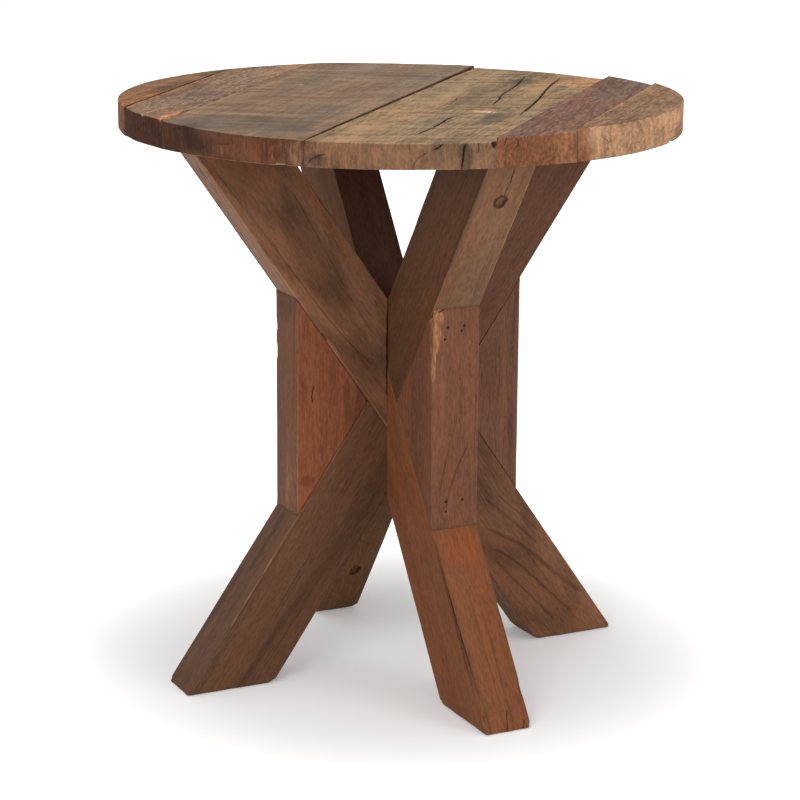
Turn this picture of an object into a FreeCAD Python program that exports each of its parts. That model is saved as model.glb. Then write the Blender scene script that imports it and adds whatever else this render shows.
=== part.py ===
import FreeCAD, Part
import os

import Sketcher

# Round plank table on a base of two crossed timber frames.
# Millimetres, +Z up. The origin is on the floor under the middle of the round top.
# The left-right frame stands in the XZ plane and the front-rear frame in the YZ plane.

SIZES = {
    # Round top, sawn from planks of unequal thickness. Plank 1 is the rear left one.
    "top_radius": 277.0,
    "underside_height": 552.0,
    "plank_angle": 46.6,  # degrees from +X to the length of the planks
    "plank_1_thickness": 28.0,
    "plank_2_thickness": 28.0,
    "plank_3_thickness": 25.5,
    "plank_4_thickness": 24.0,
    "plank_5_thickness": 28.0,
    "plank_6_thickness": 31.0,
    "plank_edge_bevel": 1.0,
    # Spare length at each end of a plank's blank, lost when the top is sawn round.
    "plank_end_trim": 23.0,
    # Widths of the narrow planks at the near and the far end of their blanks, the
    # outer two measured from the rim. The two wide planks fill the rest of the top.
    "plank_1_near_width": 57.0,
    "plank_1_far_width": 36.0,
    "plank_2_near_width": 62.0,
    "plank_2_far_width": 69.0,
    "plank_5_near_width": 59.0,
    "plank_5_far_width": 62.5,
    "plank_6_near_width": 59.0,
    "plank_6_far_width": 57.5,
    # Distance of the middle joint from the middle of the top, towards the rear left.
    "middle_joint_near": 4.0,
    "middle_joint_far": 2.0,
    # Wooden dowels in the edges of the planks.
    "edge_dowel_diameter": 8.0,
    "edge_dowel_length": 50.0,
    "edge_dowel_height": 12.0,
    # Batten screwed across the planks under the middle of the top.
    "batten_rim_distance": 72.0,
    "batten_width": 90.0,
    "batten_thickness": 18.0,
    "batten_end_bevel": 12.0,
    "screw_length": 36.0,
    "screw_shank_diameter": 4.5,
    "screw_head_diameter": 9.0,
    "screw_point_length": 6.0,
    "screw_row_spacing": 50.0,
    # Sloping timbers of the base and the upright blocks between them.
    "timber_depth": 76.0,
    "timber_thickness": 51.0,
    "leg_angle": 55.0,  # degrees from the floor to each sloping timber
    "crossing_height": 282.0,
    "block_depth": 77.6,
    "eased_edge": 1.5,
    # Dowels that hold the sloping timbers to each other where they cross.
    "crossing_dowel_diameter": 10.0,
    "crossing_dowel_length": 50.0,
    # Dowels that hold the front and rear timbers to the long diagonal.
    "centre_dowel_diameter": 12.0,
    "centre_dowel_depth": 40.0,
    "centre_dowel_rise": 46.0,
    # Dowels that hold the round top to the upper braces.
    "brace_dowel_diameter": 10.0,
    "brace_dowel_up": 14.0,
    "brace_dowel_down": 28.0,
    # Nails through the ends of the upright blocks.
    "nail_length": 55.0,
    "nail_shank_diameter": 2.2,
    "nail_head_diameter": 3.4,
    "nail_head_thickness": 1.2,
    "nail_set_depth": 0.8,
    "nail_top_distance": 19.0,
    "nail_bottom_distance": 28.0,
    "nail_spacing": 18.0,
    # Radial room between a fastener and its hole.
    "hole_clearance": 0.05,
}

PLANK_COUNT = 6
MIDDLE_JOINT = PLANK_COUNT // 2
# The batten stops short of the two outer planks, which only their dowels hold.
PLANKS_ON_BATTEN = range(2, PLANK_COUNT)
# Places of the edge dowels along a joint, as shares of half the joint's length.
OUTER_JOINT_DOWEL_SHARES = (-0.4, 0.4)
INNER_JOINT_DOWEL_SHARES = (-0.4, 0, 0.4)
MIDDLE_JOINT_DOWEL_SHARES = (-0.75, 0, 0.75)
# Places of two dowels along a sloping joint, from its outer end, as shares of it.
CROSSING_DOWEL_SHARES = (0.25, 0.6)
# Places of two dowels along a brace's top face, from its inner end, as shares of it.
BRACE_DOWEL_SHARES = (0.2, 0.6)
# Spokes of the base, each a quarter turn about +Z after the last. The first is on +X.
SPOKES = ("right", "rear", "left", "front")
QUARTER_TURN = 90
X_AXIS = FreeCAD.Vector(1, 0, 0)
Y_AXIS = FreeCAD.Vector(0, 1, 0)
Z_AXIS = FreeCAD.Vector(0, 0, 1)

doc = FreeCAD.newDocument("plank_table")
sheet = doc.addObject("Spreadsheet::Sheet", "sizes")
for row, (alias, value) in enumerate(SIZES.items(), start=1):
    sheet.set(f"A{row}", alias)
    sheet.set(f"B{row}", str(value))
    sheet.setAlias(f"B{row}", alias)
doc.recompute()


# Expressions in the sheet's sizes

HALF_THICKNESS = "(sizes.timber_thickness / 2)"
SLOPE = "tan(sizes.leg_angle)"
# Half the upright height that a sloping timber covers.
BAND = "(sizes.timber_depth / 2 / cos(sizes.leg_angle))"
HALF_BLANK = "(sizes.top_radius + sizes.plank_end_trim)"


def rising(radius, side):
    """Height of a brace's edge at a radius: side -1 is its outer, 1 its inner edge."""
    return f"(sizes.crossing_height + {radius} * {SLOPE} + {side} * {BAND})"


def falling(radius, side):
    """Height of a leg's edge at a radius: side 1 is its outer, -1 its inner edge."""
    return f"(sizes.crossing_height - {radius} * {SLOPE} + {side} * {BAND})"


def radius_at_top(side):
    """Radius where a brace's edge meets the top: side 1 is outer, -1 inner."""
    rise = "(sizes.underside_height - sizes.crossing_height)"
    return f"(({rise} + {side} * {BAND}) / {SLOPE})"


def radius_at_floor(side):
    """Radius where a leg's edge meets the floor: side 1 is outer, -1 inner."""
    return f"((sizes.crossing_height + {side} * {BAND}) / {SLOPE})"


# Radius where the outer edges of a brace and a leg meet, and of the block between them.
MEETING_RADIUS = f"({BAND} / {SLOPE})"
BLOCK_FACE = f"({MEETING_RADIUS} + sizes.block_depth)"


def spoke_point(spoke, radius, side, height):
    """The row-frame x, y, z of a place on a spoke, as expressions."""
    turned = {
        "right": (radius, side),
        "rear": (f"-({side})", radius),
        "left": (f"-({radius})", f"-({side})"),
        "front": (side, f"-({radius})"),
    }
    x, y = turned[spoke]
    return (x, y, height)


def joint_offset(joint, end):
    """Signed place of a joint between planks at the near or far end, across them."""
    if joint == MIDDLE_JOINT:
        return f"sizes.middle_joint_{end}"
    rear_left = joint < MIDDLE_JOINT
    outside = range(1, joint + 1) if rear_left else range(joint + 1, PLANK_COUNT + 1)
    widths = " + ".join(f"sizes.plank_{number}_{end}_width" for number in outside)
    side = 1 if rear_left else -1
    return f"({side} * (sizes.top_radius - ({widths})))"


def joint_middle(joint):
    """Signed place of a joint between planks at the middle of the top."""
    return f"(({joint_offset(joint, 'near')} + {joint_offset(joint, 'far')}) / 2)"


def joint_at(joint, along):
    """Signed place of a joint between planks, at a distance along them."""
    spread = f"({joint_offset(joint, 'far')} - {joint_offset(joint, 'near')})"
    return f"({joint_middle(joint)} + {spread} * {along} / (2 * {HALF_BLANK}))"


# Building blocks


def bind_place(item, point, rotation=FreeCAD.Rotation()):
    """Turns an object, and binds its position to three expressions."""
    item.Placement = FreeCAD.Placement(FreeCAD.Vector(), rotation)
    for axis, expression in zip("xyz", point):
        item.setExpression(f"Placement.Base.{axis}", str(expression))


def origin_plane(body, role):
    """One of the body's own origin planes."""
    for feature in body.Origin.OriginFeatures:
        if feature.Role == role:
            return feature
    raise ValueError(role)


def outline_sketch(body, plane_role, corners):
    """A closed polygon whose corners are bound to pairs of expressions."""
    sketch = body.newObject("Sketcher::SketchObject", f"{body.Name}_outline")
    sketch.AttachmentSupport = [(origin_plane(body, plane_role), "")]
    sketch.MapMode = "FlatFace"
    points = []
    for across, up in corners:
        x = float(sheet.evalExpression(across))
        y = float(sheet.evalExpression(up))
        points.append(FreeCAD.Vector(x, y, 0))
    count = len(points)
    for index in range(count):
        start, end = points[index], points[(index + 1) % count]
        sketch.addGeometry(Part.LineSegment(start, end), False)
    for index in range(count):
        following = (index + 1) % count
        sketch.addConstraint(Sketcher.Constraint("Coincident", index, 2, following, 1))
    for index, (across, up) in enumerate(corners):
        for kind, expression, value in (
            ("DistanceX", across, points[index].x),
            ("DistanceY", up, points[index].y),
        ):
            constraint = Sketcher.Constraint(kind, -1, 1, index, 1, value)
            number = sketch.addConstraint(constraint)
            sketch.setExpression(f"Constraints[{number}]", expression)
    return sketch


def prism(name, plane_role, corners, thickness, eased, midplane=False):
    """A body: a polygon padded to a thickness, with all its edges eased."""
    body = doc.addObject("PartDesign::Body", name)
    sketch = outline_sketch(body, plane_role, corners)
    pad = body.newObject("PartDesign::Pad", f"{name}_pad")
    pad.Profile = sketch
    pad.setExpression("Length", thickness)
    pad.Midplane = midplane
    sketch.Visibility = False
    doc.recompute()
    bevel = body.newObject("PartDesign::Chamfer", f"{name}_eased")
    bevel.Base = (pad, [f"Edge{n + 1}" for n in range(len(pad.Shape.Edges))])
    bevel.setExpression("Size", eased)
    body.Tip = bevel
    return body


def cylinder(name, diameter, length, point, rotation=FreeCAD.Rotation(), grow="0"):
    """A cylinder along the turned Z axis, bound to the sheet."""
    item = doc.addObject("Part::Cylinder", name)
    item.setExpression("Radius", f"{diameter} / 2 + {grow}")
    item.setExpression("Height", length)
    bind_place(item, point, rotation)
    return item


def cone(name, low_diameter, high_diameter, length, point, rotation, grow="0"):
    """A cone along the turned Z axis, bound to the sheet."""
    item = doc.addObject("Part::Cone", name)
    item.setExpression("Radius1", f"{low_diameter} / 2 + {grow}")
    item.setExpression("Radius2", f"{high_diameter} / 2 + {grow}")
    item.setExpression("Height", length)
    bind_place(item, point, rotation)
    return item


def fuse(name, items):
    """One solid from pieces that meet."""
    item = doc.addObject("Part::MultiFuse", name)
    item.Shapes = items
    return item


def group(name, items):
    """A node of separate solids."""
    item = doc.addObject("Part::Compound", name)
    item.Links = items
    return item


def drilled(name, solid, holes):
    """The solid with its holes cut out."""
    item = doc.addObject("Part::Cut", name)
    item.Base = solid
    item.Tool = holes[0] if len(holes) == 1 else fuse(f"{name}_holes", holes)
    return item


# Timbers of the base

SPOKE_ROTATIONS = {
    spoke: FreeCAD.Rotation(Z_AXIS, turns * QUARTER_TURN) for turns, spoke in enumerate(SPOKES)
}

TOP_OUTER = (radius_at_top(1), "sizes.underside_height")
TOP_INNER = (radius_at_top(-1), "sizes.underside_height")
FLOOR_OUTER = (radius_at_floor(1), "0")
FLOOR_INNER = (radius_at_floor(-1), "0")
MEETING = (MEETING_RADIUS, "sizes.crossing_height")
BUTT_TOP = (HALF_THICKNESS, rising(HALF_THICKNESS, 1))
BUTT_BOTTOM = (HALF_THICKNESS, falling(HALF_THICKNESS, -1))

# Corners of each timber in its spoke's upright plane: radius, then height.
# The long diagonal runs from the left of the top to the right foot.
OUTLINES = {
    "long_diagonal": [
        (f"-{TOP_OUTER[0]}", TOP_OUTER[1]),
        FLOOR_INNER,
        FLOOR_OUTER,
        (f"-{TOP_INNER[0]}", TOP_INNER[1]),
    ],
    "right_upper_brace": [MEETING, TOP_OUTER, TOP_INNER, ("0", rising("0", 1))],
    "left_lower_leg": [MEETING, ("0", falling("0", -1)), FLOOR_INNER, FLOOR_OUTER],
    # On the front spoke the leg runs up to the middle and the brace sits on it.
    "front_lower_leg": [
        BUTT_BOTTOM,
        FLOOR_INNER,
        FLOOR_OUTER,
        (HALF_THICKNESS, falling(HALF_THICKNESS, 1)),
    ],
    "front_upper_brace": [
        MEETING,
        TOP_OUTER,
        TOP_INNER,
        BUTT_TOP,
        (HALF_THICKNESS, falling(HALF_THICKNESS, 1)),
    ],
    # On the rear spoke the brace runs down to the middle and the leg meets it.
    "rear_upper_brace": [
        (HALF_THICKNESS, rising(HALF_THICKNESS, -1)),
        TOP_OUTER,
        TOP_INNER,
        BUTT_TOP,
    ],
    "rear_lower_leg": [
        MEETING,
        (HALF_THICKNESS, rising(HALF_THICKNESS, -1)),
        BUTT_BOTTOM,
        FLOOR_INNER,
        FLOOR_OUTER,
    ],
}
BLOCK_OUTLINE = [
    MEETING,
    (BLOCK_FACE, falling(BLOCK_FACE, 1)),
    (BLOCK_FACE, rising(BLOCK_FACE, -1)),
]
TIMBER_SPOKES = {"long_diagonal": "right"}
for spoke in SPOKES:
    OUTLINES[f"{spoke}_infill_block"] = BLOCK_OUTLINE
for name in OUTLINES:
    TIMBER_SPOKES.setdefault(name, name.split("_")[0])

blanks = {}
holes = {}
for name, corners in OUTLINES.items():
    blank = prism(
        f"{name}_blank",
        "XZ_Plane",
        corners,
        "sizes.timber_thickness",
        "sizes.eased_edge",
        midplane=True,
    )
    rotation = SPOKE_ROTATIONS[TIMBER_SPOKES[name]]
    blank.Placement = FreeCAD.Placement(FreeCAD.Vector(), rotation)
    blanks[name] = blank
    holes[name] = []


# Dowels where the short timbers cross the long diagonal

crossing_dowels = []
for timber, spoke, up in (("left_lower_leg", "left", -1), ("right_upper_brace", "right", 1)):
    # The dowel leans outwards, whichever way the spoke points.
    lean_axis = Y_AXIS if spoke == "right" else -Y_AXIS
    lean_angle = "sizes.leg_angle" if up > 0 else "180 - sizes.leg_angle"
    for number, share in enumerate(CROSSING_DOWEL_SHARES, start=1):
        # The dowel stands square to the sloping joint, half of it on each side.
        half = "sizes.crossing_dowel_length / 2"
        radius = f"({MEETING_RADIUS} * (1 - {share}) - {half} * sin(sizes.leg_angle))"
        height = f"(sizes.crossing_height + {up} * ({share} * {BAND} - {half} * cos(sizes.leg_angle)))"
        point = spoke_point(spoke, radius, "0", height)
        pair = []
        for kind, grow in (("dowel", "0"), ("hole", "sizes.hole_clearance")):
            item = cylinder(
                f"{timber}_{kind}_{number}",
                "sizes.crossing_dowel_diameter",
                "sizes.crossing_dowel_length",
                point,
                grow=grow,
            )
            item.Placement.Rotation = FreeCAD.Rotation(lean_axis, QUARTER_TURN)
            item.setExpression("Placement.Rotation.Angle", lean_angle)
            pair.append(item)
        crossing_dowels.append(pair[0])
        holes[timber].append(pair[1])
        holes["long_diagonal"].append(pair[1])


# Dowels through the long diagonal into the front and rear timbers

centre_dowels = []
TO_REAR = FreeCAD.Rotation(X_AXIS, -QUARTER_TURN)
CENTRE_LENGTH = "(sizes.timber_thickness + 2 * sizes.centre_dowel_depth)"
for level, side, timbers in (
    ("upper", 1, ("front_upper_brace", "rear_upper_brace")),
    ("lower", -1, ("front_lower_leg", "rear_lower_leg")),
):
    height = f"(sizes.crossing_height + {side} * sizes.centre_dowel_rise)"
    point = ("0", f"-{CENTRE_LENGTH} / 2", height)
    size = ("sizes.centre_dowel_diameter", CENTRE_LENGTH, point, TO_REAR)
    centre_dowels.append(cylinder(f"{level}_centre_dowel", *size))
    hole = cylinder(f"{level}_centre_hole", *size, grow="sizes.hole_clearance")
    for timber in ("long_diagonal", *timbers):
        holes[timber].append(hole)


# Nails through the upright blocks into the timbers behind them


def nail(name, spoke, side, height, grow="0", proud="0"):
    """A nail driven inwards on a spoke, or its hole when grow and proud are set."""
    inward = SPOKE_ROTATIONS[spoke] * FreeCAD.Rotation(Y_AXIS, -QUARTER_TURN)
    head_radius = f"({BLOCK_FACE} - sizes.nail_set_depth + {proud})"
    head_length = f"(sizes.nail_head_thickness + {proud})"
    head = cylinder(
        f"{name}_head",
        "sizes.nail_head_diameter",
        head_length,
        spoke_point(spoke, head_radius, side, height),
        inward,
        grow,
    )
    shank_radius = f"({head_radius} - {head_length})"
    shank = cylinder(
        f"{name}_shank",
        "sizes.nail_shank_diameter",
        "(sizes.nail_length - sizes.nail_head_thickness)",
        spoke_point(spoke, shank_radius, side, height),
        inward,
        grow,
    )
    return fuse(name, [head, shank])


nails = []
for spoke in SPOKES:
    upper = "long_diagonal" if spoke == "left" else f"{spoke}_upper_brace"
    lower = "long_diagonal" if spoke == "right" else f"{spoke}_lower_leg"
    for end, timber, height in (
        ("top", upper, f"({rising(BLOCK_FACE, -1)} - sizes.nail_top_distance)"),
        ("bottom", lower, f"({falling(BLOCK_FACE, 1)} + sizes.nail_bottom_distance)"),
    ):
        for hand, sign in (("a", -1), ("b", 1)):
            side = f"({sign} * sizes.nail_spacing / 2)"
            name = f"{spoke}_{end}_nail_{hand}"
            nails.append(nail(name, spoke, side, height))
            hole = nail(
                f"{name}_hole",
                spoke,
                side,
                height,
                grow="sizes.hole_clearance",
                proud="sizes.nail_set_depth",
            )
            holes[f"{spoke}_infill_block"].append(hole)
            holes[timber].append(hole)


# Dowels up from the braces into the planks

brace_dowels = []
brace_dowel_places = {}
for spoke in SPOKES:
    timber = "long_diagonal" if spoke == "left" else f"{spoke}_upper_brace"
    for number, share in enumerate(BRACE_DOWEL_SHARES, start=1):
        length = f"({radius_at_top(1)} - {radius_at_top(-1)})"
        radius = f"({radius_at_top(-1)} + {share} * {length})"
        height = "(sizes.underside_height - sizes.brace_dowel_down)"
        point = spoke_point(spoke, radius, "0", height)
        full = "(sizes.brace_dowel_up + sizes.brace_dowel_down)"
        name = f"{spoke}_brace_dowel_{number}"
        brace_dowels.append(cylinder(name, "sizes.brace_dowel_diameter", full, point))
        hole = cylinder(
            f"{name}_hole",
            "sizes.brace_dowel_diameter",
            full,
            point,
            grow="sizes.hole_clearance",
        )
        holes[timber].append(hole)
        brace_dowel_places[name] = point


# Round top, in its own frame: X along the planks, Y across them, Z from the underside

top_solids = {}
top_holes = {}


def plank_edge(number, end, overrun_side):
    """Place across the top of one side of a plank; the outer sides run past the rim."""
    if 1 <= number <= PLANK_COUNT - 1:
        return joint_offset(number, end)
    return f"({overrun_side} * {HALF_BLANK})"


def to_top_frame(point):
    """The top's own along and across for a row-frame place."""
    x, y = point[0], point[1]
    along = f"({x} * cos(sizes.plank_angle) + {y} * sin(sizes.plank_angle))"
    across = f"({y} * cos(sizes.plank_angle) - {x} * sin(sizes.plank_angle))"
    return along, across


def place_on_top(item):
    """Lifts a finished piece of the top to its height and turns it to the planks."""
    turned = FreeCAD.Rotation(Z_AXIS, QUARTER_TURN)
    bind_place(item, ("0", "0", "sizes.underside_height"), turned)
    item.setExpression("Placement.Rotation.Angle", "sizes.plank_angle")


for number in range(1, PLANK_COUNT + 1):
    name = f"top_plank_{number}"
    thickness = f"sizes.plank_{number}_thickness"
    corners = [
        (f"-{HALF_BLANK}", plank_edge(number, "near", -1)),
        (HALF_BLANK, plank_edge(number, "far", -1)),
        (HALF_BLANK, plank_edge(number - 1, "far", 1)),
        (f"-{HALF_BLANK}", plank_edge(number - 1, "near", 1)),
    ]
    blank = prism(f"{name}_blank", "XY_Plane", corners, thickness, "sizes.plank_edge_bevel")
    disc = doc.addObject("Part::Cylinder", f"{name}_disc")
    disc.setExpression("Radius", "sizes.top_radius")
    disc.setExpression("Height", thickness)
    sawn = doc.addObject("Part::Common", f"{name}_sawn_round")
    sawn.Base = blank
    sawn.Tool = disc
    top_solids[name] = sawn
    top_holes[name] = []


# Dowels in the edges of the planks

edge_dowels = []
ACROSS = FreeCAD.Rotation(X_AXIS, -QUARTER_TURN)
for joint in range(1, PLANK_COUNT):
    shares = INNER_JOINT_DOWEL_SHARES
    if joint == MIDDLE_JOINT:
        shares = MIDDLE_JOINT_DOWEL_SHARES
    elif joint in (1, PLANK_COUNT - 1):
        shares = OUTER_JOINT_DOWEL_SHARES
    half_joint = f"sqrt(sizes.top_radius ^ 2 - {joint_middle(joint)} ^ 2)"
    for number, share in enumerate(shares, start=1):
        along = f"({share} * {half_joint})"
        across = f"({joint_at(joint, along)} - sizes.edge_dowel_length / 2)"
        point = (along, across, "sizes.edge_dowel_height")
        size = ("sizes.edge_dowel_diameter", "sizes.edge_dowel_length", point, ACROSS)
        edge_dowels.append(cylinder(f"edge_dowel_{joint}_{number}", *size))
        hole = cylinder(f"edge_hole_{joint}_{number}", *size, grow="sizes.hole_clearance")
        top_holes[f"top_plank_{joint}"].append(hole)
        top_holes[f"top_plank_{joint + 1}"].append(hole)


# Batten under the top and its screws

half_length = "(sizes.top_radius - sizes.batten_rim_distance)"
batten_body = doc.addObject("PartDesign::Body", "top_batten_blank")
batten_sketch = outline_sketch(
    batten_body,
    "YZ_Plane",
    [
        (f"-{half_length}", "0"),
        (f"-{half_length} + sizes.batten_end_bevel", "-sizes.batten_thickness"),
        (f"{half_length} - sizes.batten_end_bevel", "-sizes.batten_thickness"),
        (half_length, "0"),
    ],
)
batten_pad = batten_body.newObject("PartDesign::Pad", "top_batten_pad")
batten_pad.Profile = batten_sketch
batten_pad.setExpression("Length", "sizes.batten_width")
batten_pad.Midplane = True
batten_sketch.Visibility = False
batten_body.Tip = batten_pad


def screw(name, along, across, grow="0"):
    """A countersunk screw driven up through the batten, or its hole."""
    upright = FreeCAD.Rotation()
    head_height = "((sizes.screw_head_diameter - sizes.screw_shank_diameter) / 2)"
    low = "-sizes.batten_thickness"
    head = cone(
        f"{name}_head",
        "sizes.screw_head_diameter",
        "sizes.screw_shank_diameter",
        head_height,
        (along, across, low),
        upright,
        grow,
    )
    shank = cylinder(
        f"{name}_shank",
        "sizes.screw_shank_diameter",
        f"(sizes.screw_length - {head_height} - sizes.screw_point_length)",
        (along, across, f"({low} + {head_height})"),
        upright,
        grow,
    )
    point = cone(
        f"{name}_point",
        "sizes.screw_shank_diameter",
        "0",
        "sizes.screw_point_length",
        (along, across, f"({low} + sizes.screw_length - sizes.screw_point_length)"),
        upright,
        grow,
    )
    return fuse(name, [head, shank, point])


batten_screws = []
top_solids["top_batten"] = batten_body
top_holes["top_batten"] = []
for number in PLANKS_ON_BATTEN:
    upper_side = half_length
    if number > PLANKS_ON_BATTEN[0]:
        upper_side = joint_middle(number - 1)
    lower_side = f"-{half_length}"
    if number < PLANKS_ON_BATTEN[-1]:
        lower_side = joint_middle(number)
    across = f"(({upper_side} + {lower_side}) / 2)"
    for hand, sign in (("a", -1), ("b", 1)):
        along = f"({sign} * sizes.screw_row_spacing / 2)"
        name = f"batten_screw_{number}_{hand}"
        batten_screws.append(screw(name, along, across))
        hole = screw(f"{name}_hole", along, across, grow="sizes.hole_clearance")
        top_holes["top_batten"].append(hole)
        top_holes[f"top_plank_{number}"].append(hole)


# Holes in the planks for the dowels of the braces, drilled through whatever plank lies there

for name, point in brace_dowel_places.items():
    along, across = to_top_frame(point)
    hole = cylinder(
        f"{name}_plank_hole",
        "sizes.brace_dowel_diameter",
        "(sizes.brace_dowel_up + sizes.brace_dowel_down)",
        (along, across, "-sizes.brace_dowel_down"),
        grow="sizes.hole_clearance",
    )
    for number in range(1, PLANK_COUNT + 1):
        top_holes[f"top_plank_{number}"].append(hole)


# Finished pieces, each under the name of its node

nodes = {}
for name, solid in top_solids.items():
    nodes[name] = drilled(f"{name}_drilled", solid, top_holes[name])
    place_on_top(nodes[name])
for name, items in (("plank_edge_dowels", edge_dowels), ("batten_screws", batten_screws)):
    nodes[name] = group(f"{name}_group", items)
    place_on_top(nodes[name])
for name, blank in blanks.items():
    nodes[name] = drilled(f"{name}_drilled", blank, holes[name])
for name, items in (
    ("crossing_dowels", crossing_dowels),
    ("centre_dowels", centre_dowels),
    ("brace_top_dowels", brace_dowels),
    ("infill_block_nails", nails),
):
    nodes[name] = group(f"{name}_group", items)
for name, item in nodes.items():
    item.Label = name
doc.recompute()


# Every object and shape is checked before anything is written

for item in doc.Objects:
    if "Invalid" in item.State or "Error" in item.State:
        raise RuntimeError(f"{item.Name} failed: {item.State}")
for name, item in nodes.items():
    shape = item.Shape
    if shape.isNull() or not shape.isValid() or not shape.Solids:
        raise RuntimeError(f"{name} has no valid shape")

os.makedirs("parts", exist_ok=True)
for name, item in nodes.items():
    item.Shape.exportStep(f"parts/{name}.step")
    print(f"{name}: {len(item.Shape.Solids)} solids, {item.Shape.Volume:.0f} mm3")
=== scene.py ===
"""Looks of the round plank table: each plank and timber gets a worn, grained mesh of its own.

Lengths are millimetres unless a name says otherwise. A piece's own frame has x along the grain,
y across it and z through its thickness. A mark's place is given in that frame.
"""

import itertools
import math
from collections import namedtuple
from functools import partial

import bmesh
import bpy
import numpy as np
from mathutils import Matrix, Vector


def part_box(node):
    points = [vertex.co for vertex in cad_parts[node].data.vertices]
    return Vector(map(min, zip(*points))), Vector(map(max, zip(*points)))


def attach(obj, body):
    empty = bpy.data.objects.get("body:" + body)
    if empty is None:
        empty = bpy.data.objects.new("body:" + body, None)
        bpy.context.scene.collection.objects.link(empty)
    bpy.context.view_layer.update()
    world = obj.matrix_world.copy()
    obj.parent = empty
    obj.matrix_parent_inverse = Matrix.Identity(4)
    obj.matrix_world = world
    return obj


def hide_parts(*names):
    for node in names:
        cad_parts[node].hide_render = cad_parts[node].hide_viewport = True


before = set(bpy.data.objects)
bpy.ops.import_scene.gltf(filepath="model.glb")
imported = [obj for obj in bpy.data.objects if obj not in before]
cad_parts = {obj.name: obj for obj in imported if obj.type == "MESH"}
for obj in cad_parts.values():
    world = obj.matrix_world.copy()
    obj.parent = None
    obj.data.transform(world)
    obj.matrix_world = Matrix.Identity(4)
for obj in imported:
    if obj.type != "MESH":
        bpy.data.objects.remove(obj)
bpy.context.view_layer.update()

MM = 0.001


# Sizes read from the frame, and the few that it doesn't give

def box_mm(node):
    """Lowest and highest corner of a CAD node, in millimetres."""
    low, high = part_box(node)
    return np.array(low) / MM, np.array(high) / MM


PLANK_COUNT = 6
UNDERSIDE = box_mm("top_plank_1")[0][2]
TOP_RADIUS = max(box_mm(f"top_plank_{n}")[1][0] for n in range(1, PLANK_COUNT + 1))
PLANK_ANGLE = math.radians(46.6)
PLANK_THICKNESS = {
    n: box_mm(f"top_plank_{n}")[1][2] - UNDERSIDE for n in range(1, PLANK_COUNT + 1)
}
HALF_THICK = box_mm("long_diagonal")[1][1]
BLOCK_FACE = box_mm("right_infill_block")[1][0]
LEG_ANGLE = math.radians(55)
HALF_DEPTH = 38.0
CROSSING_HEIGHT = 282.0
# Places of the joints between planks, at the near and far end of the blanks.
BLANK_HALF_LENGTH = 300.0
JOINTS = {1: (220.0, 241.0), 2: (158.0, 172.0), 3: (4.0, 2.0), 4: (-159.0, -157.0), 5: (-218.0, -219.5)}


# Camera

CAMERA_PLACE = (-1.12152, -2.27211, 0.92352)  # metres
CAMERA_YAW = math.radians(26.301)
CAMERA_PITCH = math.radians(-14.422)
CAMERA_ROLL = math.radians(0.423)
CAMERA_LENS = 116.30
SENSOR_WIDTH = 36.0


def make_camera():
    """The photograph's viewpoint."""
    data = bpy.data.cameras.new("camera")
    data.lens = CAMERA_LENS
    data.sensor_width = SENSOR_WIDTH
    camera = bpy.data.objects.new("camera", data)
    yaw = Matrix.Rotation(-CAMERA_YAW, 4, "Z")
    pitch = Matrix.Rotation(math.pi / 2 + CAMERA_PITCH, 4, "X")
    roll = Matrix.Rotation(CAMERA_ROLL, 4, "Z")
    camera.matrix_world = Matrix.Translation(CAMERA_PLACE) @ yaw @ pitch @ roll
    bpy.context.scene.collection.objects.link(camera)
    bpy.context.scene.camera = camera


# Repeatable noise

HASH_FACTORS = (73856093, 19349663, 83492791)
MIX_STEPS = ((15, 2246822519), (13, 3266489917))
LAST_SHIFT = 16
SEED_FACTOR = 2654435761
WORD = 2**32


def hashed(cells, seed):
    """A repeatable number from -1 to 1 for each row of whole numbers."""
    key = np.full(len(cells), seed * SEED_FACTOR % WORD, np.int64)
    for column, factor in enumerate(HASH_FACTORS):
        key ^= cells[:, column] * factor
    for shift, factor in MIX_STEPS:
        key = (key ^ (key >> shift)) * factor % WORD
    return (key ^ (key >> LAST_SHIFT)) % WORD / (WORD / 2) - 1


def noise(points, period, seed):
    """Smooth noise from -1 to 1 that changes over about one period along each axis."""
    places = points / np.asarray(period, float)
    low = np.floor(places).astype(np.int64)
    share = places - low
    share = share * share * (3 - 2 * share)
    total = np.zeros(len(points))
    for corner in itertools.product((0, 1), repeat=3):
        weight = np.prod(np.where(corner, share, 1 - share), axis=1)
        total += weight * hashed(low + corner, seed)
    return total


def smooth_step(value, low, high):
    """0 below low, 1 above high, and smooth between."""
    share = np.clip((value - low) / (high - low), 0, 1)
    return share * share * (3 - 2 * share)


# Walls: the flat or round faces that bound a piece, each with its distance and inward direction

def everywhere(places):
    """A wall whose edges look the same all along."""
    return np.ones(len(places))


# The rounding, the painted shade along its joint and the ragged splinters of a wall's edges are full where it
# is shown.
Wall = namedtuple(
    "Wall", "name distance inward rounding contact seam ragged shown", defaults=(False, 0.0, 0.0, everywhere)
)


def flat_wall(name, point, inward, *look):
    """A flat face through a point. Its look is the rounding, and then what else a Wall holds."""
    inward = np.array(inward, float)
    inward /= np.linalg.norm(inward)
    point = np.array(point, float)
    return Wall(
        name,
        lambda places: (places - point) @ inward,
        lambda places: np.broadcast_to(inward, places.shape),
        *look,
    )


def top_wall(thickness, rise, rounding):
    """A plank's top, which lies above its thickness by the rise at each place."""
    return Wall(
        "top",
        lambda places: thickness + rise(places[:, 0], places[:, 1]) - places[:, 2],
        lambda places: np.broadcast_to((0.0, 0.0, -1.0), places.shape),
        rounding,
    )


def round_wall(name, radius, rounding):
    """The sawn round edge of the top."""

    def inward(places):
        radial = places * (1, 1, 0)
        return -radial / np.maximum(np.linalg.norm(radial, axis=1), 1)[:, None]

    return Wall(name, lambda places: radius - np.hypot(places[:, 0], places[:, 1]), inward, rounding)


# Marks of age, and a few of painted light and shade, each with its place in a piece's own frame

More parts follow.
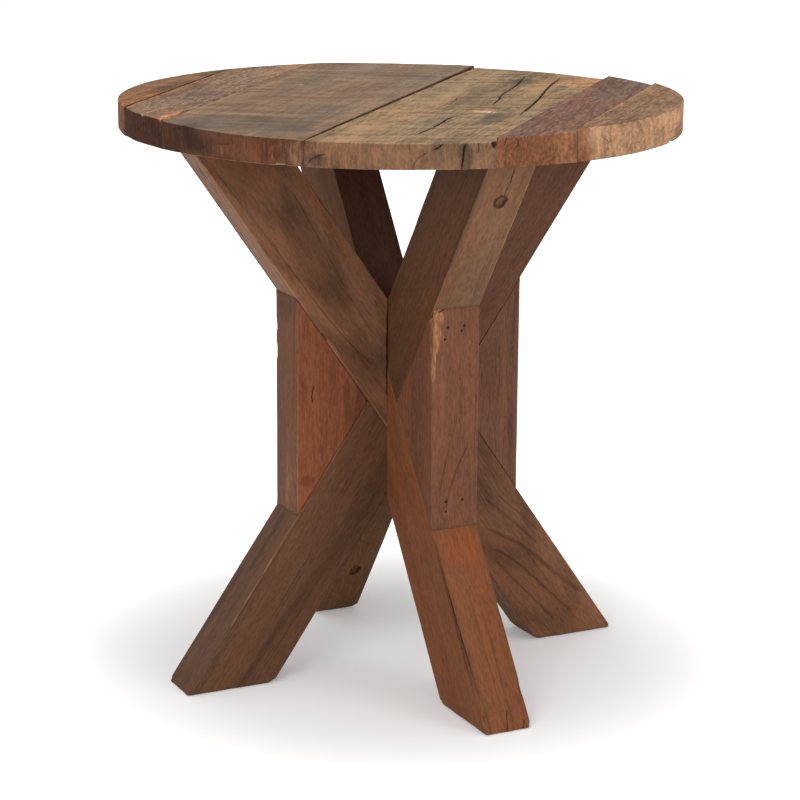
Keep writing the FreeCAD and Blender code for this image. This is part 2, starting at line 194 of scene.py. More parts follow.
Crack = namedtuple("Crack", "path width depth")
Vein = namedtuple("Vein", "path width")
Hole = namedtuple("Hole", "centre radius depth")
Chip = namedtuple("Chip", "centre radii depth layer amount")
Patch = namedtuple("Patch", "layer centre radii amount turn", defaults=(0.0,))
Knot = namedtuple("Knot", "centre radii pull")
Stain, Pale, Dark, Warm = (partial(Patch, layer) for layer in ("stain", "pale", "dark", "warm"))

LAYERS = ("dark", "pale", "stain", "warm", "wear_and_highlight", "second", "shift")
# A line's layers hold the distance to its nearest one, with a sign for the side, in half widths
# and in millimetres. The material draws the line where the first passes zero.
LINES = ("crack", "vein")
FAR = 99.0
PLACE = "place"
CRACK_STEP = 5.0
CRACK_WANDER = 0.5
VEIN_WANDER = 0.15
VEIN_FADE = 4.0
REFINE_REACH = (4.0, 2.2)
FLAT_REACH = 6.0  # of a flat patch through the thickness


def face(axis, level):
    """A function that puts marks on a face of the piece: their places leave the face's axis out."""

    def place(point):
        return (*point[:axis], level, *point[axis:])

    def placed(mark):
        if "path" in mark._fields:
            return mark._replace(path=[place(point) for point in mark.path])
        if isinstance(mark, Patch) and len(mark.radii) == 2:
            mark = mark._replace(radii=(*mark.radii, FLAT_REACH))
        return mark._replace(centre=place(mark.centre))

    return lambda *marks: [placed(mark) for mark in marks]


def wandering(path, seed, wander):
    """A path with rounded corners and evenly spaced points, which wander a little."""
    path = np.array(path, float)
    for _ in range(2):
        cut = [path[:-1] * 0.75 + path[1:] * 0.25, path[:-1] * 0.25 + path[1:] * 0.75]
        path = np.concatenate([path[:1], np.stack(cut, 1).reshape(-1, 3), path[-1:]])
    done = np.concatenate([[0], np.cumsum(np.linalg.norm(np.diff(path, axis=0), axis=1))])
    stations = np.linspace(0, done[-1], max(2, round(done[-1] / CRACK_STEP)) + 1)
    points = np.stack([np.interp(stations, done, path[:, axis]) for axis in range(3)], 1)
    offset = np.stack([hashed(np.arange(len(points) * 3).reshape(-1, 3), seed + n) for n in range(3)], 1)
    offset[[0, -1]] = 0
    return points + offset * wander


def path_distance(places, path):
    """Distance of each place to a path, how far along it that is from 0 to 1, and on which step."""
    best = np.full(len(places), np.inf)
    share = np.zeros(len(places))
    nearest = np.zeros(len(places), int)
    steps = np.linalg.norm(np.diff(path, axis=0), axis=1)
    total = steps.sum()
    done = 0.0
    for number, (start, end, step) in enumerate(zip(path, path[1:], steps)):
        along = np.clip((places - start) @ (end - start) / max(step * step, 1e-9), 0, 1)
        gap = np.linalg.norm(places - start - along[:, None] * (end - start), axis=1)
        nearer = gap < best
        best = np.where(nearer, gap, best)
        share = np.where(nearer, (done + along * step) / total, share)
        nearest = np.where(nearer, number, nearest)
        done += step
    return best, share, nearest


def draw_line(kind, places, path, gap, step, half, facing, layers, fade=0.0):
    """Puts the signed distance to a path into the layers where no other line is nearer.

    Where the fade grows, the line dies out as if it were further away.
    """
    heading = path[step + 1] - path[step]
    side = np.sign(np.einsum("nk,nk->n", np.cross(heading, places - path[step]), facing))
    nearer = gap + fade < layers[f"{kind}_gap"]
    layers[kind] = np.where(nearer, side * gap / half, layers[kind])
    layers[f"{kind}_gap"] = np.where(nearer, gap + fade, layers[f"{kind}_gap"])


def ellipsoid(places, centre, radii, turn=0.0):
    """Distance from a centre as a share of the radii, turned about z by an angle in degrees."""
    offset = places - np.array(centre, float)
    angle = math.radians(turn)
    along = offset[:, 0] * math.cos(angle) + offset[:, 1] * math.sin(angle)
    across = offset[:, 1] * math.cos(angle) - offset[:, 0] * math.sin(angle)
    turned = np.stack([along, across, offset[:, 2]], 1)
    return np.linalg.norm(turned / np.array(radii, float), axis=1)


def mark_reach(mark, places):
    """Distance from each place to a mark that needs a finer mesh."""
    if isinstance(mark, Crack):
        return path_distance(places, np.array(mark.path, float))[0] - CRACK_WANDER
    if isinstance(mark, Hole):
        return np.linalg.norm(places - np.array(mark.centre, float), axis=1) - mark.radius
    if isinstance(mark, (Chip, Knot)):
        gap = ellipsoid(places, mark.centre, mark.radii) - 1
        return gap * min(mark.radii)
    return np.full(len(places), np.inf)


def cover(layers, layer, amount):
    """Raises a layer to an amount where the amount is more."""
    layers[layer] = np.maximum(layers[layer], amount)


def apply_mark(mark, places, facing, push, layers, seed):
    """Adds one mark's depth to push and its colour to the layers."""
    if isinstance(mark, Crack):
        path = wandering(mark.path, seed, CRACK_WANDER)
        gap, share, step = path_distance(places, path)
        taper = np.sqrt(np.clip(np.minimum(share, 1 - share) * 6, 0.15, 1))
        half = mark.width / 2 * taper * (1 + 0.4 * noise(places, (9, 9, 9), seed))
        push += mark.depth * taper * np.clip(1 - gap / (half + 0.35), 0, 1)
        draw_line("crack", places, path, gap, step, half + 0.15, facing, layers)
        cover(layers, "dark", 0.3 * smooth_step(half + 2.5 - gap, 0, 2.5))
    elif isinstance(mark, Vein):
        path = wandering(mark.path, seed, VEIN_WANDER)
        gap, share, step = path_distance(places, path)
        half = mark.width / 2 * (1 + 0.5 * noise(places, (25, 25, 25), seed))
        fade = VEIN_FADE * (1 - np.clip(np.minimum(share, 1 - share) * 8, 0, 1))
        draw_line("vein", places, path, gap, step, half, facing, layers, fade)
    elif isinstance(mark, Hole):
        gap = np.linalg.norm(places - np.array(mark.centre, float), axis=1)
        push += mark.depth * smooth_step(mark.radius + 0.3 - gap, 0, 0.6)
        cover(layers, "dark", 0.9 * smooth_step(mark.radius + 0.8 - gap, 0, 0.8))
    elif isinstance(mark, Chip):
        gap = ellipsoid(places, mark.centre, mark.radii)
        gap += 0.3 * noise(places, (7, 3, 3), seed)
        push += mark.depth * smooth_step(1 - gap, 0, 0.7)
        cover(layers, mark.layer, mark.amount * smooth_step(1.1 - gap, 0, 0.35))
    elif isinstance(mark, Patch):
        gap = ellipsoid(places, mark.centre, mark.radii, mark.turn)
        smallest = min(mark.radii)
        gap += 0.3 * noise(places, (4 * smallest, smallest, smallest), seed)
        cover(layers, mark.layer, mark.amount * smooth_step(1.25 - gap, 0, 0.8))
    elif isinstance(mark, Knot):
        gap = ellipsoid(places, mark.centre, mark.radii)
        gap += 0.15 * noise(places, (5, 5, 5), seed)
        ring = smooth_step(1.25 - gap, 0, 0.4) * (0.6 + 0.4 * smooth_step(gap, 0.3, 0.8))
        ring *= 1 + 0.3 * noise(places, (6, 6, 6), seed + 1)
        cover(layers, "dark", 0.72 * ring)
        cover(layers, "warm", 0.3 * smooth_step(2.2 - gap, 0, 1.2))
        side = np.sign(places[:, 1] - mark.centre[1])
        layers["shift"] += side * mark.pull * np.exp(-gap * gap / 5)
        push += 0.8 * smooth_step(0.9 - gap, 0, 0.5)


# Meshes: the surface of a block of cells, with finer cells near its edges and its marks

EDGE_STEPS = (0.0, 0.35, 0.75, 1.2, 1.8, 2.6, 3.8)
SPACING = 2.5


def graded(length):
    """Shares from 0 to 1 along a length, close together near both ends."""
    edge = np.array([step for step in EDGE_STEPS if step < length * 0.3])
    count = max(2, round((length - 2 * edge[-1]) / SPACING))
    middle = np.linspace(edge[-1], length - edge[-1], count + 1)[1:-1]
    return np.concatenate([edge, middle, length - edge[::-1]]) / length


def level_top(x, y):
    """The rise of a top that isn't warped."""
    return 0.0 * x


def block_surface(plan, heights, length, width, rise):
    """Corner places and quads of the surface of the block under a plan's grid and a warped top."""
    along = graded(length)
    across = graded(width)
    up = graded(heights[1] - heights[0])
    grid_along, grid_across = np.meshgrid(along, across, indexing="ij")
    plan_x, plan_y = plan(grid_along, grid_across)
    shape = (len(along), len(across), len(up))
    inner = np.zeros(shape, bool)
    inner[1:-1, 1:-1, 1:-1] = True
    number = np.full(shape, -1)
    number[~inner] = np.arange((~inner).sum())
    top = heights[1] + rise(plan_x, plan_y)[:, :, None]
    level = heights[0] + (top - heights[0]) * up
    coordinates = (plan_x[:, :, None], plan_y[:, :, None], level)
    places = np.stack([np.broadcast_to(values, shape)[~inner] for values in coordinates], 1)
    quads = []
    # Each pair of axes in turn, so that the third one is the face's outward direction.
    for first, second, third in ((0, 1, 2), (1, 2, 0), (2, 0, 1)):
        turned = number.transpose(first, second, third)
        for side, outward in ((0, False), (-1, True)):
            face = turned[:, :, side]
            ring = [face[:-1, :-1], face[1:, :-1], face[1:, 1:], face[:-1, 1:]]
            if not outward:
                ring = ring[::-1]
            quads.append(np.stack(ring, -1).reshape(-1, 4))
    return places, np.concatenate(quads)


def refined_mesh(name, places, quads, marks):
    """A mesh whose edges near the marks are divided."""
    mesh = bpy.data.meshes.new(name)
    mesh.from_pydata(places.tolist(), [], quads.tolist())
    sharp = [mark for mark in marks if not isinstance(mark, (Patch, Vein))]
    if sharp:
        shape = bmesh.new()
        shape.from_mesh(mesh)
        for reach in REFINE_REACH:
            shape.edges.ensure_lookup_table()
            middles = np.array([(e.verts[0].co + e.verts[1].co) / 2 for e in shape.edges])
            near = np.zeros(len(middles), bool)
            for mark in sharp:
                near |= mark_reach(mark, middles) < reach
            chosen = [shape.edges[i] for i in np.flatnonzero(near)]
            bmesh.ops.subdivide_edges(shape, edges=chosen, cuts=1, use_grid_fill=True)
        shape.to_mesh(mesh)
        shape.free()
    return mesh


def mesh_places(mesh):
    """The mesh's corner places as rows."""
    places = np.empty(len(mesh.vertices) * 3)
    mesh.vertices.foreach_get("co", places)
    return places.reshape(-1, 3)


UNEVENNESS = 0.35
UNEVEN_PERIOD = (110, 22, 22)
ROUNDING_PERIOD = (28, 12, 12)
SPLINTER_PERIOD = (14, 3, 4)
SEAM_SHADE_PERIOD = (22, 6, 6)
WEAR_AND_HIGHLIGHT_PERIOD = (30, 8, 8)
TIGHT_ROUNDING = 0.25
RAGGED_REACH = 5.0
WEAR_AND_HIGHLIGHT_REACH = 2.0
SEAM_SHADE_REACH = 1.6
BLEND_REACH = 3.0


def worn(places, walls, marks, seed, second_walls):
    """The places after rounding, splinters and marks, and the layers of colour that these give: real marks,
    painted shade along the joints, and pale edges that are partly worn and partly a painted highlight.
    """
    gaps = np.stack([wall.distance(places) for wall in walls])
    directions = np.stack([wall.inward(places) for wall in walls])
    shown = np.stack([wall.shown(places) for wall in walls])
    rounding = np.array([wall.rounding for wall in walls])[:, None]
    rounding = TIGHT_ROUNDING + (rounding - TIGHT_ROUNDING) * shown
    rounding = rounding + np.minimum(0.45 * rounding, 0.7) * noise(places, ROUNDING_PERIOD, seed)
    contact = np.array([wall.contact for wall in walls])[:, None]
    close = gaps < rounding
    tightest = np.min(np.where(close, rounding, np.inf), axis=0)
    widest = np.max(np.where(close, rounding, 0), axis=0)
    radius = np.where(np.any(close & contact, axis=0), tightest, widest)
    pull = np.maximum(radius - gaps, 0)
    length = np.linalg.norm(pull, axis=0)
    toward = np.einsum("wn,wnk->nk", pull, directions)
    toward /= np.maximum(np.linalg.norm(toward, axis=1), 1e-9)[:, None]
    moved = places + toward * np.maximum(length - radius, 0)[:, None]

    contact_gap = np.min(np.where(contact, gaps, np.inf), axis=0)
    arris_gap = np.sort(gaps, axis=0)[1]
    push = UNEVENNESS * (0.5 + 0.5 * noise(places, UNEVEN_PERIOD, seed + 1))
    push *= smooth_step(contact_gap, 1, 6)

    nearest = np.argmin(gaps, axis=0)
    facing = directions[nearest, np.arange(len(places))]
    layers = {layer: np.zeros(len(places)) for layer in LAYERS}
    for line in LINES:
        layers[line] = np.full(len(places), FAR)
        layers[f"{line}_gap"] = np.full(len(places), FAR)
    rough = noise(places, SPLINTER_PERIOD, seed + 2)
    for wall, gap, visible in zip(walls, gaps, shown):
        edge = np.maximum(gap, arris_gap)
        if wall.ragged:
            torn = smooth_step(rough, 0.1, 0.7) * np.clip(1 - edge / RAGGED_REACH, 0, 1) * visible
            push += wall.ragged * torn
            cover(layers, "pale", 0.35 * smooth_step(torn, 0.2, 0.7))
        # Painted shade along the joints, where the wall meets another part, goes into the dark layer.
        if wall.seam:
            reach = SEAM_SHADE_REACH * (1 + 0.5 * noise(places, SEAM_SHADE_PERIOD, seed + 4))
            cover(layers, "dark", wall.seam * smooth_step(reach - edge, -0.4, 0.8) * visible)
    # Pale edges along the free arrises: partly worn wood and partly a painted highlight.
    wear_and_highlight = np.clip(1 - arris_gap / WEAR_AND_HIGHLIGHT_REACH, 0, 1) * smooth_step(contact_gap, 2, 5)
    layers["wear_and_highlight"] = wear_and_highlight * (0.6 + 0.5 * noise(places, WEAR_AND_HIGHLIGHT_PERIOD, seed + 3))
    for index, wall in enumerate(walls):
        if wall.name in second_walls:
            layers["second"] = np.where(nearest == index, 1.0, layers["second"])
    for number, mark in enumerate(marks):
        apply_mark(mark, places, facing, push, layers, seed + 10 + number)

    nearness = np.maximum(BLEND_REACH - gaps, 0) ** 2
    inward = np.einsum("wn,wnk->nk", nearness, directions)
    inward /= np.maximum(np.linalg.norm(inward, axis=1), 1e-9)[:, None]
    return moved + inward * push[:, None], layers


def make_piece(node, plan, size, heights, walls, matrix, marks, second_walls, rise=level_top):
    """A worn mesh that stands for one CAD node."""
    seed = sum(ord(letter) * place for place, letter in enumerate(node, start=1))
    places, quads = block_surface(plan, heights, *size, rise)
    mesh = refined_mesh(node, places, quads, marks)
    new_places = mesh_places(mesh)
    moved, layers = worn(new_places, walls, marks, seed, second_walls)
    mesh.vertices.foreach_set("co", (moved * MM).ravel())
    mesh.transform(matrix)
    attribute = mesh.attributes.new(PLACE, "FLOAT_VECTOR", "POINT")
    attribute.data.foreach_set("vector", (new_places * MM).ravel().astype(np.float32))
    for layer, values in layers.items():
        attribute = mesh.attributes.new(layer, "FLOAT", "POINT")
        attribute.data.foreach_set("value", values.astype(np.float32))
    mesh.shade_smooth()
    mesh.update()
    piece = bpy.data.objects.new(f"{node}_wood", mesh)
    bpy.context.scene.collection.objects.link(piece)
    slot, look = WOODS[node]
    if node.startswith("top_plank"):
        look = PLANK_LOOK | look
    mesh.materials.append(wood_material(node, seed, **look))
    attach(piece, "root")
    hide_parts(node)


# Materials

def paint(colour):
    """A display colour, three numbers up to 255, as the linear colour that Blender wants."""
    shares = np.array(colour, float) / 255
    linear = np.where(shares <= 0.04045, shares / 12.92, ((shares + 0.055) / 1.055) ** 2.4)
    return (*linear, 1.0)


class Tree:
    """Short calls that build the nodes of one material or world."""

    def __init__(self, owner, shader="Principled BSDF"):
        owner.use_nodes = True
        self.owner = owner
        self.nodes = owner.node_tree.nodes
        self.links = owner.node_tree.links
        self.shader = self.nodes[shader]

    def put(self, node, sockets):
        """Links outputs and sets plain values, each at a socket's name or number."""
        for socket, value in sockets.items():
            if isinstance(value, bpy.types.NodeSocket):
                self.links.new(value, node.inputs[socket])
            else:
                node.inputs[socket].default_value = value

    def node(self, kind, sockets, output=0, **settings):
        """One output of a new node."""
        node = self.nodes.new(f"ShaderNode{kind}")
        for name, value in settings.items():
            setattr(node, name, value)
        self.put(node, sockets)
        return node.outputs[output]

    def maths(self, operation, *values, clamp=False):
        return self.node("Math", dict(enumerate(values)), operation=operation, use_clamp=clamp)

    def times(self, first, second):
        return self.maths("MULTIPLY", first, second)

    def times_plus(self, value, factor, base):
        return self.maths("MULTIPLY_ADD", value, factor, base)

    def centred(self, value):
        """Noise, which runs from 0 to 1, moved to have its middle at zero."""
        return self.maths("SUBTRACT", value, 0.5)

    def vectors(self, operation, *values):
        return self.node("VectorMath", dict(enumerate(values)), operation=operation)

    def layer(self, name, output="Fac"):
        return self.node("Attribute", {}, output, attribute_name=name)

    def object_place(self):
        return self.node("TexCoord", {}, "Object")

    def noise(self, vector, scale, detail=2.0, roughness=0.5):
        """Noise whose features have the sizes 1 / scale along each axis."""
        place = self.vectors("MULTIPLY", vector, scale)
        sockets = {"Vector": place, "Scale": 1.0, "Detail": detail, "Roughness": roughness}
        return self.node("TexNoise", sockets, "Fac")

    def step(self, value, low, high, to_low=0.0, to_high=1.0):
        """A smooth step between two values."""
        sockets = dict(enumerate((value, low, high, to_low, to_high)))
        return self.node("MapRange", sockets, interpolation_type="SMOOTHSTEP")

    def turned(self, vector, angle):
        """A vector turned about z by an angle in degrees."""
        sockets = {"Vector": vector, "Angle": math.radians(angle)}
        return self.node("VectorRotate", sockets, rotation_type="Z_AXIS")

    def ramp(self, value, colours):
        """Dark, middle and light of a colour, blended by a value."""
        node = self.nodes.new("ShaderNodeValToRGB")
        stops = node.color_ramp.elements
        stops.new(0.5)
        for stop, colour, place in zip(stops, colours, TONE_PLACES):
            stop.position = place
            stop.color = paint(colour)
        self.put(node, {"Fac": value})
        return node.outputs["Color"]

    def mix(self, factor, first, second, blend="MIX"):
        """The first colour, blended into the second by a factor."""
        sockets = {0: factor, MIX_FIRST: first, MIX_SECOND: second}
        return self.node("Mix", sockets, MIX_RESULT, data_type="RGBA", blend_type=blend)

    def tint(self, factor, colour, ratio):
        """The colour times a ratio for each channel, where the factor is full."""
        return self.mix(factor, colour, (*ratio, 1.0), "MULTIPLY")

    def relief(self, height, strength, distance):
        """Gives the shader a relief; distance in metres."""
        sockets = {"Strength": strength, "Distance": distance, "Height": height}
        self.put(self.shader, {"Normal": self.node("Bump", sockets)})


MIX_FIRST, MIX_SECOND, MIX_RESULT = 6, 7, 2  # the colour sockets of a Mix node
TONE_PLACES = (0.30, 0.52, 0.74)
SEED_STEP = 0.37
SAW_ANGLE = 73.0  # of the saw marks on the planks' tops, from the grain
BANDS = 0.6
MOTTLING = 0.3
WANDER = 0.008
RELIEF_STRENGTH = 0.5
RELIEF_DEPTH = 0.0008

# How often each kind of grain repeats in a metre: along the piece, across it, through it
Grain = namedtuple("Grain", "band streak fibre pore grit line zone")
PLANK_GRAIN = Grain(
    band=(2.5, 24, 30),
    streak=(9, 120, 40),
    fibre=(36, 330, 45),
    pore=(60, 560, 80),
    grit=(85, 520, 260),
    line=(2.5, 60, 30),
    zone=(5, 14, 20),
)
TIMBER_GRAIN = Grain(
    band=(1.6, 22, 22),
    streak=(4, 120, 120),
    fibre=(55, 640, 640),
    pore=(90, 800, 800),
    grit=(170, 520, 520),
    line=(1.4, 42, 42),
    zone=(3, 20, 20),
)
WANDER_GRAIN = (5, 12, 12)
LINE_ZONES = (5, 26, 26)
MOTTLE_GRAIN = (18, 45, 45)
SAW_GRAIN = (9, 60, 12)
REDDER = (1.08, 0.96, 0.86)
VEIN_TINT = (0.5, 0.5, 0.53)


def shades(colour, spread):
    """A dark, a middle and a light shade of one colour."""
    colour = np.array(colour, float)
    return [colour * (1 - 1.2 * spread), colour, colour * (1 + spread)]


def grain_place(tree, turn):
    """A place in the piece's own frame. A solid that keeps its shape has its grain at an angle."""
    if turn is None:
        return tree.layer(PLACE, "Vector")
    return tree.turned(tree.object_place(), -turn)


def wood_material(
    name,
    seed,
    tone,
    spread=0.13,
    second=None,
    second_spread=0.13,
    grain=TIMBER_GRAIN,
    dark=(34, 24, 18),
    pale=(196, 158, 122),
    stain=(0.56, 0.66, 0.74),
    warm=(1.35, 0.95, 0.70),
    streaks=0.4,
    fibres=0.5,
    speckle=0.65,
    lines=0.3,
    saw=0.0,
    rings=0.0,
    pores=0.16,
    roughness=0.6,
    specular=0.08,
    turn=None,
):
    """Procedural wood: bands, fibres, pores, rings and saw marks in the piece's own frame, and its layers."""
    tree = Tree(bpy.data.materials.new(f"{name}_wood"))
    dark = paint(dark)
    place = grain_place(tree, turn)
    spot = tree.vectors("ADD", place, [seed * SEED_STEP % period for period in (7, 5, 3)])
    # Grain bends round knots: the layer holds how far, in millimetres.
    wander = tree.centred(tree.noise(spot, WANDER_GRAIN, 1.0))
    wander = tree.times_plus(wander, WANDER, tree.times(tree.layer("shift"), -MM))
    along = tree.vectors("ADD", spot, tree.node("CombineXYZ", {"Y": wander}))

    band = tree.noise(along, grain.band, 2.0)
    streak = tree.noise(along, grain.streak, 3.0, 0.55)
    fibre = tree.noise(along, grain.fibre, 2.0, 0.6)
    grit = tree.noise(spot, grain.grit, 2.0, 0.6)
    mottle = tree.noise(spot, MOTTLE_GRAIN, 4.0, 0.65)
    pore = tree.step(tree.noise(along, grain.pore, 1.0), 0.60, 0.70)
    # Thin dark lines run where a slow noise passes its middle value, in places only.
    crossing = tree.maths("ABSOLUTE", tree.centred(tree.noise(along, grain.line, 1.0)))
    line = tree.step(crossing, 0.0, 0.02, 1.0, 0.0)
    line = tree.times(line, tree.step(tree.noise(spot, LINE_ZONES, 1.0), 0.44, 0.6))

    tones = [(band, BANDS), (streak, streaks), (fibre, fibres), (grit, speckle), (mottle, MOTTLING)]
    height = tree.times_plus(grit, speckle * 0.7, tree.times(fibre, fibres))
    if rings:
        tones.append((year_rings(tree, place, wander, band, streak), -rings))
    if saw:
        cut = tree.noise(tree.turned(spot, SAW_ANGLE), SAW_GRAIN, 3.0, 0.7)
        tones.append((cut, saw))
        height = tree.times_plus(cut, saw, height)
    level = 0.5
    for part, amount in tones:
        level = tree.times_plus(tree.centred(part), amount, level)

    colour = tree.ramp(level, shades(tone, spread))
    if second:
        colour = tree.mix(tree.layer("second"), colour, tree.ramp(level, shades(second, second_spread)))
    # The hue drifts between redder and greyer zones that are long along the grain.
    colour = tree.tint(tree.step(tree.noise(along, grain.zone, 2.0), 0.32, 0.68), colour, REDDER)
    colour = tree.mix(tree.times(line, lines), colour, dark)
    colour = tree.mix(tree.times(pore, pores), colour, dark)

    # The layers break up along the grain.
    ragged = tree.times_plus(streak, 1.2, tree.times(fibre, 0.9))
    ragged = tree.maths("SUBTRACT", ragged, 1.05)

    def mask(layer, low, high, break_up=1.5):
        """Where a layer shows: nowhere below low, fully above high."""
        return tree.step(tree.times(tree.layer(layer), tree.times_plus(ragged, break_up, 1.0)), low, high)

    def drawn(kind, core, edge, reach):
        """Where a line runs: full within core half widths, gone past edge, and past a reach in mm."""
        across = tree.step(tree.maths("ABSOLUTE", tree.layer(kind)), core, edge, 1.0, 0.0)
        return tree.times(across, tree.step(tree.layer(f"{kind}_gap"), 0.5 * reach, reach, 1.0, 0.0))

    for layer, tint in (("stain", stain), ("warm", warm)):
        colour = tree.tint(mask(layer, 0.0, 0.9), colour, tint)
    vein = tree.times(drawn("vein", 0.0, 2.2, 3.4), tree.step(streak, 0.2, 0.6, 0.4, 0.85))
    colour = tree.tint(vein, colour, VEIN_TINT)
    fresh = tree.ramp(level, shades(pale, 0.3))
    # The pale edge layer is partly worn wood and partly a painted highlight; the dark layer holds real dark
    # marks and the painted shade along joints.
    for layer, low, high, break_up, share, over in (
        ("wear_and_highlight", 0.3, 0.9, 2.2, 0.13, fresh),
        ("pale", 0.15, 0.85, 1.7, 0.8, fresh),
        ("dark", 0.1, 0.8, 1.2, 0.9, dark),
    ):
        colour = tree.mix(tree.times(mask(layer, low, high, break_up), share), colour, over)
    colour = tree.mix(tree.times(drawn("crack", 0.7, 1.5, 2.5), 0.95), colour, dark)

    rough = tree.times_plus(mottle, 0.2, roughness - 0.1)
    rough = tree.maths("MULTIPLY_ADD", pore, 0.15, rough, clamp=True)
    tree.put(tree.shader, {"Base Color": colour, "Roughness": rough, "Specular IOR Level": specular})
    tree.relief(tree.times_plus(pore, -0.6 * pores, height), RELIEF_STRENGTH, RELIEF_DEPTH)
    return tree.owner


PITH_DEPTH = 0.055
PITH_LEAN = 0.13
RING_WEAVE = 0.03
RING_SPACING = 0.012
RING_SHARPNESS = 2.5


def year_rings(tree, place, wander, band, streak):
    """Year rings round a pith that lies outside the piece and leans a little along it; in metres."""
    split = tree.nodes.new("ShaderNodeSeparateXYZ")
    tree.put(split, {0: place})
    x, y, z = split.outputs
    depth = tree.maths("ADD", z, tree.times_plus(x, PITH_LEAN, PITH_DEPTH))
    across = tree.times_plus(tree.centred(band), RING_WEAVE, tree.maths("ADD", y, wander))
    squares = [tree.maths("POWER", side, 2.0) for side in (across, depth)]
    distance = tree.maths("SQRT", tree.maths("ADD", *squares))
    phase = tree.times_plus(distance, 2 * math.pi / RING_SPACING, streak)
    ring = tree.times_plus(tree.maths("SINE", phase), 0.5, 0.5)
    return tree.maths("POWER", ring, RING_SHARPNESS)


def steel_material():
    """Dark, slightly rusted steel of the nails and screws."""
    tree = Tree(bpy.data.materials.new("dark_steel"))
    rust = tree.noise(tree.object_place(), (500, 500, 500), 4.0, 0.6)
    tree.put(
        tree.shader,
        {
            "Base Color": tree.ramp(rust, ((36, 29, 25), (54, 40, 33), (84, 56, 40))),
            "Roughness": tree.step(rust, 0.3, 0.7, 0.55, 0.9),
            "Specular IOR Level": 0.2,
            "Metallic": 0.3,
        },
    )
    tree.relief(rust, 1.0, 0.0002)
    return tree.owner


# Slot, colour and grain of each piece. A plank's second colour is its rim's.

WOODS = {
    "top_plank_1": (
        "brown_plank_wood",
        dict(tone=(138, 102, 73), spread=0.24, second=(120, 85, 61), speckle=0.9, saw=0.5),
    ),
    "top_plank_2": (
        "brown_plank_wood",
        dict(
            tone=(143, 116, 96), spread=0.24, second=(71, 47, 38), warm=(1.5, 1.0, 0.7), speckle=1.1, saw=0.3
        ),
    ),
    "top_plank_3": (
        "grey_brown_plank_wood",
        dict(
            tone=(137, 116, 97),
            spread=0.14,
            second=(94, 65, 52),
            streaks=0.5,
            fibres=0.45,
            speckle=0.6,
            saw=1.0,
        ),
    ),
    "top_plank_4": (
        "tan_plank_wood",
        dict(
            tone=(147, 124, 97), spread=0.2, second=(122, 93, 72), warm=(1.5, 1.2, 1.0), speckle=0.7, saw=0.9
        ),
    ),
    "top_plank_5": (
        "purple_brown_plank_wood",
        dict(
            tone=(125, 94, 80),
            spread=0.22,
            second=(126, 82, 58),
            stain=(1.05, 1.3, 1.4),
            warm=(1.42, 1.62, 1.72),
            speckle=1.0,
            saw=0.2,
        ),
    ),
    "top_plank_6": (
        "olive_plank_wood",
        dict(
            tone=(143, 112, 86),
            spread=0.22,
            second=(179, 138, 105),
            stain=(0.5, 0.4, 0.36),
            speckle=0.9,
            saw=0.4,
        ),
    ),
    "long_diagonal": (
        "red_brown_timber_wood",
        dict(
            tone=(119, 84, 63),
            second=(122, 88, 64),
            stain=(0.68, 0.69, 0.71),
            warm=(1.2, 0.98, 0.82),
            rings=0.2,
        ),
    ),
    "right_upper_brace": ("brown_timber_wood", dict(tone=(111, 77, 59), stain=(0.75, 0.74, 0.76))),
    "left_lower_leg": ("brown_timber_wood", dict(tone=(96, 69, 53), stain=(0.85, 0.95, 0.9))),
    "front_lower_leg": ("orange_brown_timber_wood", dict(tone=(120, 75, 49))),
    # The lighter second colour on this brace's outer face is painted light, for the light that the floor
    # throws up onto it.
    "front_upper_brace": ("brown_timber_wood", dict(tone=(96, 66, 47), second=(132, 98, 74))),
    "rear_upper_brace": ("dark_timber_wood", dict(tone=(97, 67, 54), second=(118, 84, 62), specular=0.03)),
    "rear_lower_leg": ("dark_timber_wood", dict(tone=(126, 95, 70), stain=(0.72, 0.82, 0.72), specular=0.03)),
    "left_infill_block": ("orange_brown_timber_wood", dict(tone=(131, 81, 57), second=(107, 71, 51))),
    "right_infill_block": ("purple_brown_block_wood", dict(tone=(118, 82, 65))),
    "front_infill_block": ("pink_brown_block_wood", dict(tone=(115, 77, 59), pale=(146, 104, 72))),
    "rear_infill_block": ("dark_timber_wood", dict(tone=(100, 76, 60))),
}
PLANK_LOOK = dict(
    grain=PLANK_GRAIN, second_spread=0.16, dark=(46, 31, 24), lines=0.12, specular=0.05, roughness=0.75
)
BATTEN_LOOK = dict(tone=(126, 98, 74), spread=0.18, saw=0.4)
DOWEL_LOOK = dict(tone=(184, 150, 110), spread=0.14, pores=0.2)


# Marks of each piece. Within the call of a face, places leave out the axis that the face looks along.

tops = {number: face(2, height) for number, height in PLANK_THICKNESS.items()}

